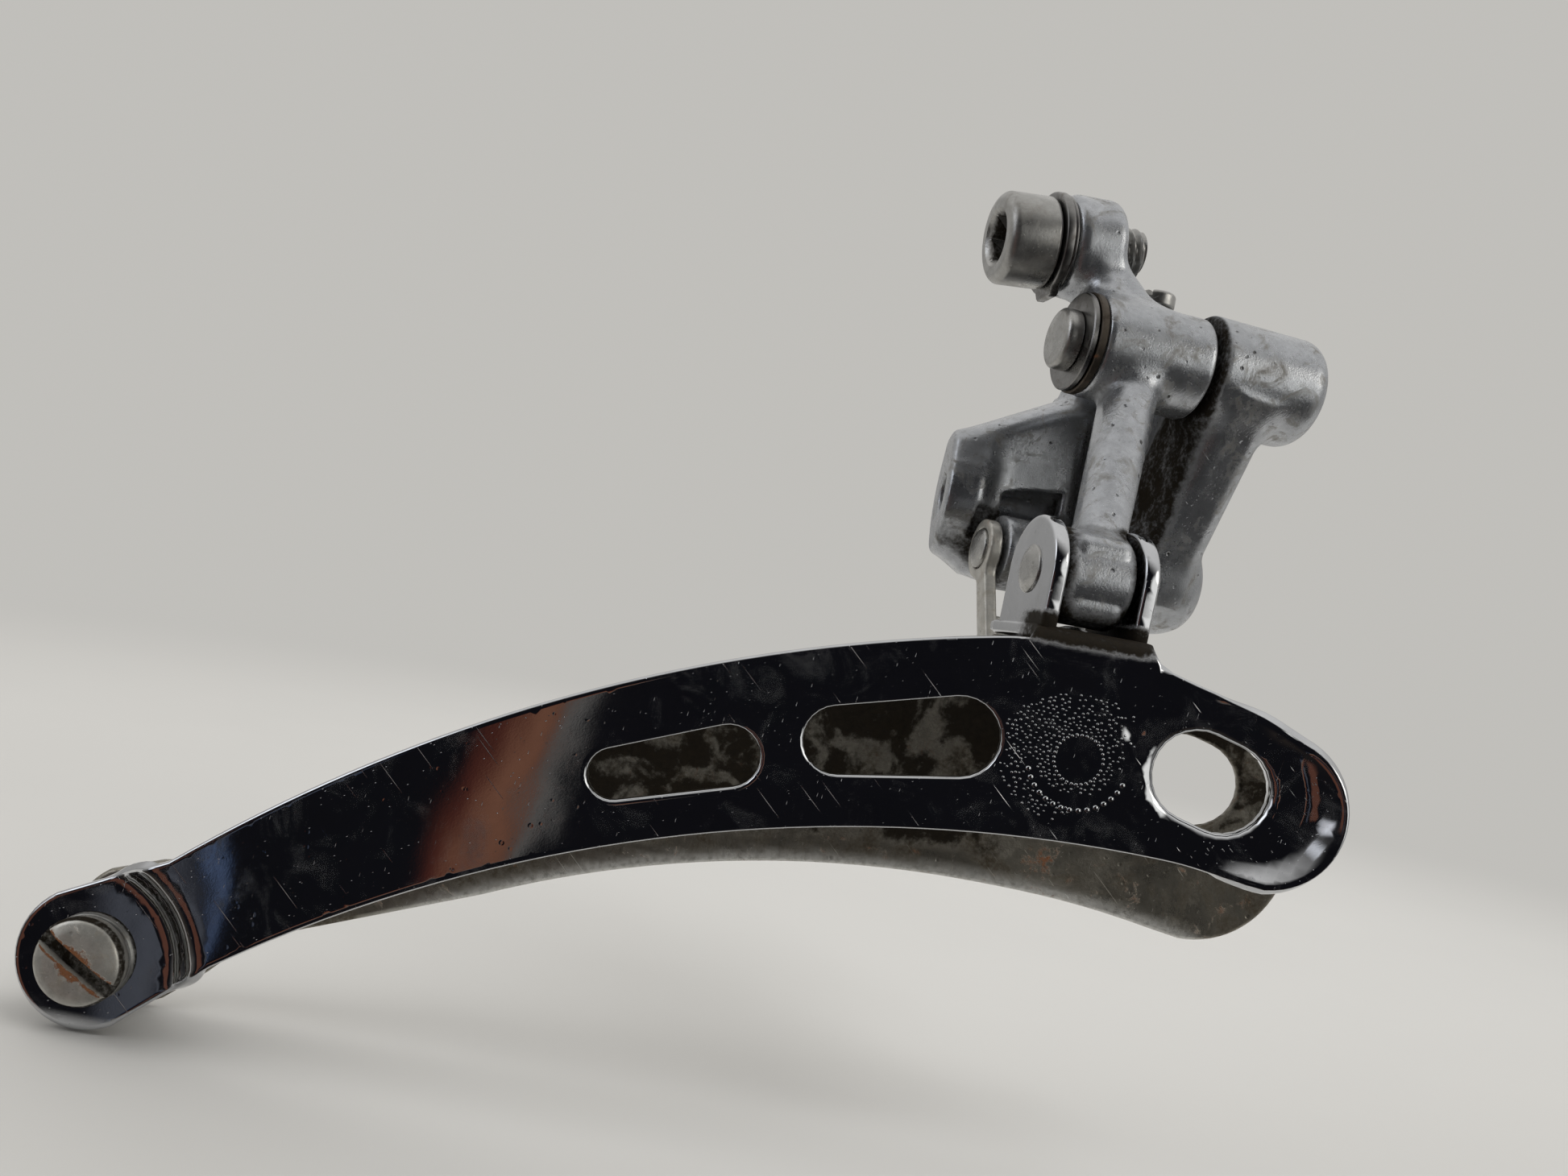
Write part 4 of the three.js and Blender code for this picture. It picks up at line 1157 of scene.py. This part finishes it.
def metal(name, color, dull, rough, bright=1.0, grime=0.4, rust=0.0, scratches=0.5, pits=0.3, bump=0.05,
          wave=0.0, blotch=(0.42, 0.5, 0.68), patchy=0.15):
    """Worn metal. dull is the colour of its stains and bright its metallic share. blotch is the fineness of
    the stains and the two noise levels they start and fill at. The rest are amounts of each kind of wear."""
    g = new_material(name)
    cloud = g.noise(0.16, 5, 0.6, warp=0.6)
    grain = g.noise(2.2, 6, 0.7)
    fine = g.noise(9.0, 3, 0.6)
    lines = g.most(g.most(g.scratches(0.09, 0.0), g.scratches(0.07, 1.0)), g.scratches(0.11, 2.1))
    rubbed = g.noise(1.0, 3, 0.6, coords=g.mapped(g.mapped(g.mm, 1, (0.3, 0.5, 0.9)), (0.35, 7.0, 7.0)))
    patches = g.ramp(g.noise(0.26, 4, 0.5, warp=0.8), 0.34, 0.66, 1 - patchy, 1 + 0.6 * patchy)
    # The grime attribute carries dirt and painted shade.
    dirt_and_shade = g.ramp(g.times(g.marked("grime"), g.ramp(grain, 0.2, 0.8, 0.75, 1.25), patches), 0.26, 1.02)
    # Worn edges turn light and less metallic, also painting a highlight on the inner plate's lower rim.
    worn_and_sheen = g.times(g.marked("worn_and_sheen"), g.ramp(grain, 0.25, 0.6, 0.5, 1.0))
    stains = g.ramp(g.noise(blotch[0], 7, 0.68, warp=1.2), *blotch[1:])
    stains = g.times(stains, g.ramp(grain, 0.3, 0.62, 0.3, 1), g.less(1.0, worn_and_sheen))
    dots = g.times(g.ramp(g.cells(0.85), 0.20, 0.08), g.ramp(g.noise(0.5, 3), 0.5, 0.62))
    start, full = 0.62 - 0.2 * rust, 0.74 - 0.2 * rust
    rusty = g.ramp(g.noise(0.55, 8, 0.72, warp=0.8), start, full, 0, min(1, rust * 4))
    rusty = g.most(rusty, g.ramp(g.times(g.marked("rust"), g.ramp(grain, 0.25, 0.7, 0.5, 1.5)), 0.45, 0.8))
    covered = g.most(dirt_and_shade, rusty)

    mottle = g.times(g.ramp(g.noise(0.9, 6, 0.75), 0.36, 0.66), min(1.0, 2 * rough[1]))
    base = g.blend(g.ramp(cloud, 0.3, 0.72, 0, 0.5), color, tuple(c * 0.74 for c in color))
    for amount, over in (
        (mottle, tuple(c * 0.66 for c in color)),
        (g.times(worn_and_sheen, 0.8), WORN_AND_SHEEN_COLOR),
        (g.times(stains, grime), dull),
        (g.times(dots, pits), DOT_COLOR),
        (g.times(lines, 0.15 * scratches), LINE_COLOR),
        (rusty, g.blend(fine, RUST_DARK, RUST_LIGHT)),
        (dirt_and_shade, g.blend(grain, DIRT_AND_SHADE_DARK, DIRT_AND_SHADE_LIGHT)),
    ):
        base = g.blend(amount, base, over)

    bare = g.less(1.0, g.most(dirt_and_shade, g.times(rusty, 0.9)))
    bare = g.less(bare, g.times(stains, 0.35 * grime), clamp=True)
    bare = g.times(bare, g.less(bright, g.times(lines, 0.3 * scratches)), g.less(1.0, g.times(worn_and_sheen, 0.75)))

    low, high = rough
    uneven = g.times(g.less(grain, 0.5), 0.5 * (high - low) + 0.02)
    shine = g.plus(g.ramp(cloud, 0.25, 0.75, low, high), uneven)
    shine = g.plus(g.plus(shine, g.times(lines, 0.22 * scratches)), g.times(stains, 0.35 * grime))
    shine = g.plus(shine, g.times(covered, 0.5), clamp=True)

    height = g.less(g.times(grain, 0.5 * high), g.times(lines, 0.5 * scratches))
    height = g.plus(height, g.times(rubbed, 0.6 * high * scratches))
    height = g.less(height, g.times(dots, 2.0 * pits))
    height = g.plus(height, g.times(covered, g.plus(grain, fine)))
    normal = g.bump(height, bump)
    if wave:
        normal = g.bump(g.noise(0.12, 1.5, 0.4), wave, Normal=normal)
    for key, value in (("Base Color", base), ("Metallic", bare), ("Roughness", shine), ("Normal", normal),
                       ("Specular IOR Level", g.less(0.5, g.times(dirt_and_shade, 0.42)))):
        g.plug(g.shader.inputs[key], value)
    return g.owner


CHROME = metal("chrome", (0.60, 0.61, 0.63), (0.24, 0.225, 0.20), (0.015, 0.05), grime=0.22,
               scratches=0.9, pits=0.12, bump=0.02, wave=0.06, blotch=(0.25, 0.5, 0.75))
GREASY = metal("greasy_steel", (0.30, 0.28, 0.235), (0.06, 0.044, 0.024), (0.20, 0.40), bright=0.8, grime=0.9,
               rust=0.16, scratches=0.7, pits=0.4, blotch=(0.15, 0.44, 0.62), patchy=0.5)
CAST = metal("cast_alloy", (0.47, 0.485, 0.51), (0.19, 0.175, 0.15), (0.16, 0.34), bright=0.84, grime=0.8,
             scratches=1.6, pits=0.8, bump=0.06)
BOLT = metal("bolt_steel", (0.60, 0.585, 0.54), (0.28, 0.22, 0.15), (0.24, 0.40), bright=0.6, grime=0.5,
             rust=0.10, scratches=0.8, pits=0.3)
PIN = metal("pin_steel", (0.46, 0.455, 0.44), (0.22, 0.20, 0.17), (0.22, 0.36), bright=0.88, scratches=0.8,
            pits=0.2)
RUSTY = metal("rusty_steel", (0.13, 0.11, 0.09), (0.04, 0.025, 0.015), (0.45, 0.6), grime=0.9, rust=0.22,
              scratches=0.3, pits=0.6)
SPRING = metal("spring_steel", (0.27, 0.265, 0.26), (0.1, 0.08, 0.06), (0.24, 0.38), grime=0.6, rust=0.02,
               scratches=0.4, pits=0.1)


# ---------- assembly
def piece(obj, node, body, slot, material):
    obj.data.materials.clear()
    obj.data.materials.append(material)
    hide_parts(node)
    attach(obj, body)


UP, OUTBOARD, INBOARD, DOWN = (0, 0, 1), (0, -1, 0), (0, 1, 0), (0, 0, -1)
plain_washer = pivot_washer("washer_plain", 25.48, 26.22, 4.6)
spring_washer = pivot_washer("washer_spring", 24.8, 25.36, 4.45)

for entry in (
    (outer_cage_plate(), "outer_cage_plate", "cage", "chrome_plate", CHROME),
    (inner_cage_plate(), "inner_cage_plate", "cage", "greasy_steel", GREASY),
    (cage_rivet("rivet_rear", *RIVETS[0]), "cage_rivet_rear", "cage", "bolt_steel", PIN),
    (cage_rivet("rivet_front", *RIVETS[1]), "cage_rivet_front", "cage", "bolt_steel", PIN),
    (riveted("pin_ear", 19.42, 29.4, 1.85, 2.0, LOWER_OUTER), "ear_pin", "cage", "bolt_steel", PIN),
    (riveted("pin_lug", 20.9, 36.2, 1.32, 1.9, LOWER_INNER), "lug_pin", "cage", "bolt_steel", PIN),
    (tail_spacer(), "tail_spacer", "cage", "bolt_steel", PIN),
    (tail_screw(), "tail_screw", "cage", "bolt_steel", BOLT),
    (outer_arm(), "outer_arm", "outer_arm", "cast_alloy", CAST),
    (anchor_bolt(), "cable_anchor_bolt", "outer_arm", "bolt_steel", PIN),
    (anchor_washer(), "cable_anchor_washer", "outer_arm", "bolt_steel", SPRING),
    (inner_arm(), "inner_arm", "inner_arm", "greasy_steel", BOLT),
    (bracket_body(), "bracket_body", "bracket", "cast_alloy", CAST),
    (outer_pivot_pin(), "outer_pivot_pin", "bracket", "bolt_steel", PIN),
    (plain_washer, "outer_pivot_washer", "bracket", "rusty_steel", RUSTY),
    (spring_washer, "outer_pivot_spring_washer", "bracket", "bolt_steel", SPRING),
    (inner_pivot_pin(), "inner_pivot_pin", "bracket", "bolt_steel", PIN),
    (return_spring(), "return_spring", "bracket", "spring_steel", SPRING),
):
    piece(*entry)

for name, placing in (
    ("low_limit", (UP, OUTBOARD, (*LOW_SCREW, 34.75))),
    ("high_limit", (INBOARD, UP, (HIGH_SCREW[0], 28.55, HIGH_SCREW[1]))),
):
    piece(lock_spring(f"spring_{name}", *placing), f"{name}_spring", "bracket", "spring_steel", SPRING)

for name, head, length, placing in (
    ("low_limit", 1.8, 6.2, (DOWN, (0.8, 0.6, 0), (*LOW_SCREW, 37.6))),
    ("high_limit", 1.5, 9.7, (OUTBOARD, (0.6, 0, 0.8), (HIGH_SCREW[0], 31.3, HIGH_SCREW[1]))),
):
    screw = limit_screw(f"screw_{name}", head, length, *placing)
    piece(screw, f"{name}_screw", f"{name}_screw", "bolt_steel", PIN)


# ---------- floor, light and camera
PALE = (0.53, 0.52, 0.495)
FLOOR_HALF_SIZE, FLOOR_GAP = 3.0, 0.0002  # metres
VIEWER_SIDE = (-33.5, -36.5)  # millimetres, where metal starts and ends to see through the floor
MELT = (160, 420)  # millimetres from the middle, where the floor turns into the background

# direction, wide and narrow angles in degrees, colour
ROOM_PATCHES = (
    ((0, -1, -0.15), 84, 50, (0.007, 0.007, 0.009)),
    ((-0.8, -0.35, 0.5), 18, 7, (1.7, 1.75, 1.85)),
    ((-0.86, -0.5, 0.1), 11, 5, (1.0, 1.02, 1.08)),
    ((0.80, -0.58, 0.14), 24, 13, (1.2, 1.19, 1.14)),
    ((0.80, -0.40, 0.38), 14, 6, (3.0, 2.9, 2.7)),
)
# whether it leans, left and right edges as sideways over forwards, softness, colour
ROOM_BANDS = (
    (False, -1.05, -0.62, 0.06, (0.12, 0.050, 0.034)),
    (False, -0.475, -0.43, 0.02, (0.075, 0.08, 0.095)),
    (False, -0.414, -0.408, 0.004, (0.13, 0.19, 0.34)),
    (True, -0.188, -0.130, 0.014, (0.075, 0.022, 0.016)),
    (True, -0.164, -0.127, 0.014, (0.19, 0.085, 0.052)),
    (True, -0.124, -0.112, 0.010, (0.15, 0.145, 0.135)),
)


def floor_material():
    """Pale and matt. It melts into the background far away, and metal sees through it towards the viewer."""
    g = new_material("floor")
    x, y, _ = g.parts(g.mm)
    far = g.ramp(g.maths("SQRT", g.plus(g.times(x, x), g.times(y, y))), *MELT)
    glossy = g.add("ShaderNodeLightPath").outputs["Is Glossy Ray"]
    viewer = g.times(glossy, g.ramp(y, *VIEWER_SIDE))
    color = g.blend(g.noise(0.03, 3), (0.58, 0.572, 0.552), (0.60, 0.592, 0.57))
    for key, value in (("Base Color", color), ("Roughness", 0.55), ("Specular IOR Level", 0.2)):
        g.plug(g.shader.inputs[key], value)
    glow = g.filled("ShaderNodeEmission", 0, Color=(*PALE, 1))
    clear = g.add("ShaderNodeBsdfTransparent").outputs[0]
    shader = g.shader.outputs[0]
    for factor, other in ((far, glow), (viewer, clear)):
        both = g.add("ShaderNodeMixShader")
        for socket, value in zip(both.inputs, (factor, shader, other)):
            g.plug(socket, value)
        shader = both.outputs[0]
    g.plug(g.tree.nodes["Material Output"].inputs["Surface"], shader)
    return g.owner


def add_floor():
    s, z = FLOOR_HALF_SIZE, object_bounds()[0].z - FLOOR_GAP
    mesh = bpy.data.meshes.new("floor")
    mesh.from_pydata([(-s, -s, z), (s, -s, z), (s, s, z), (-s, s, z)], [], [(0, 1, 2, 3)])
    mesh.materials.append(floor_material())
    floor = bpy.data.objects.new("floor", mesh)
    bpy.context.scene.collection.objects.link(floor)


def add_world():
    """Pale to the camera. Metal sees a bright room with a dark side towards the viewer."""
    bpy.context.scene.world = bpy.data.worlds.new("room")
    g = Graph(bpy.context.scene.world)
    way = g.add("ShaderNodeTexCoord").outputs["Generated"]
    x, y, z = g.parts(way)
    room = g.blend(g.ramp(z, -0.2, 0.9), (0.30, 0.295, 0.285), (0.80, 0.79, 0.77))
    room = g.blend(g.ramp(z, -0.2, -0.55), room, (0.050, 0.040, 0.032))
    for direction, wide, narrow, color in ROOM_PATCHES:
        dot = g.add("ShaderNodeVectorMath", operation="DOT_PRODUCT")
        g.plug(dot.inputs[0], way)
        g.plug(dot.inputs[1], Vector(direction).normalized())
        patch = g.ramp(dot.outputs["Value"], math.cos(math.radians(wide)), math.cos(math.radians(narrow)))
        room = g.blend(patch, room, color)
    upright = g.maths("DIVIDE", x, g.times(y, -1.0))
    leaning = g.plus(upright, g.times(g.maths("DIVIDE", z, y), 0.22))
    ahead = g.times(g.ramp(y, -0.40, -0.52), g.ramp(z, 0.06, 0.0))
    for leans, left, right, soft, color in ROOM_BANDS:
        across = leaning if leans else upright
        band = g.times(g.ramp(across, left - soft, left + soft), g.ramp(across, right + soft, right - soft))
        room = g.blend(g.times(band, ahead), room, color)
    seen = g.add("ShaderNodeLightPath").outputs["Is Camera Ray"]
    back = g.tree.nodes["Background"]
    g.plug(back.inputs["Color"], g.blend(seen, room, PALE))
    back.inputs["Strength"].default_value = 1.0


def add_light(name, at, size, power, tint=(1, 1, 1)):
    light = bpy.data.lights.new(name, "AREA")
    light.shape = "DISK"
    light.size = size
    light.energy = power
    light.color = tint
    obj = bpy.data.objects.new(name, light)
    bpy.context.scene.collection.objects.link(obj)
    obj.location = at
    obj.visible_glossy = False
    obj.rotation_euler = (Vector((0, -0.02, -0.01)) - Vector(at)).to_track_quat("-Z", "Y").to_euler()


def add_camera():
    data = bpy.data.cameras.new("camera")
    camera = bpy.data.objects.new("camera", data)
    bpy.context.scene.collection.objects.link(camera)
    data.sensor_width, data.lens = SENSOR, LENS
    data.shift_x, data.shift_y = LENS_SHIFT
    data.clip_start = 0.005
    c, s = math.cos(CAMERA_ROLL), math.sin(CAMERA_ROLL)
    axes = Matrix(((c, 0, s), (-s, 0, c), (0, -1, 0))).transposed()
    at = (DATUM + Vector((0, -CAMERA_DISTANCE, 0))) * MM
    camera.matrix_world = Matrix.Translation(at) @ axes.to_4x4()
    bpy.context.scene.camera = camera


add_floor()
add_world()
add_light("key", (0.26, -0.16, 0.42), 0.30, 1.0)
add_light("fill", (-0.40, 0.05, 0.30), 0.40, 0.5, (1.0, 0.97, 0.93))
add_light("rim", (0.10, 0.40, 0.25), 0.35, 0.5)
add_camera()
bpy.context.scene.view_settings.view_transform = "Standard"
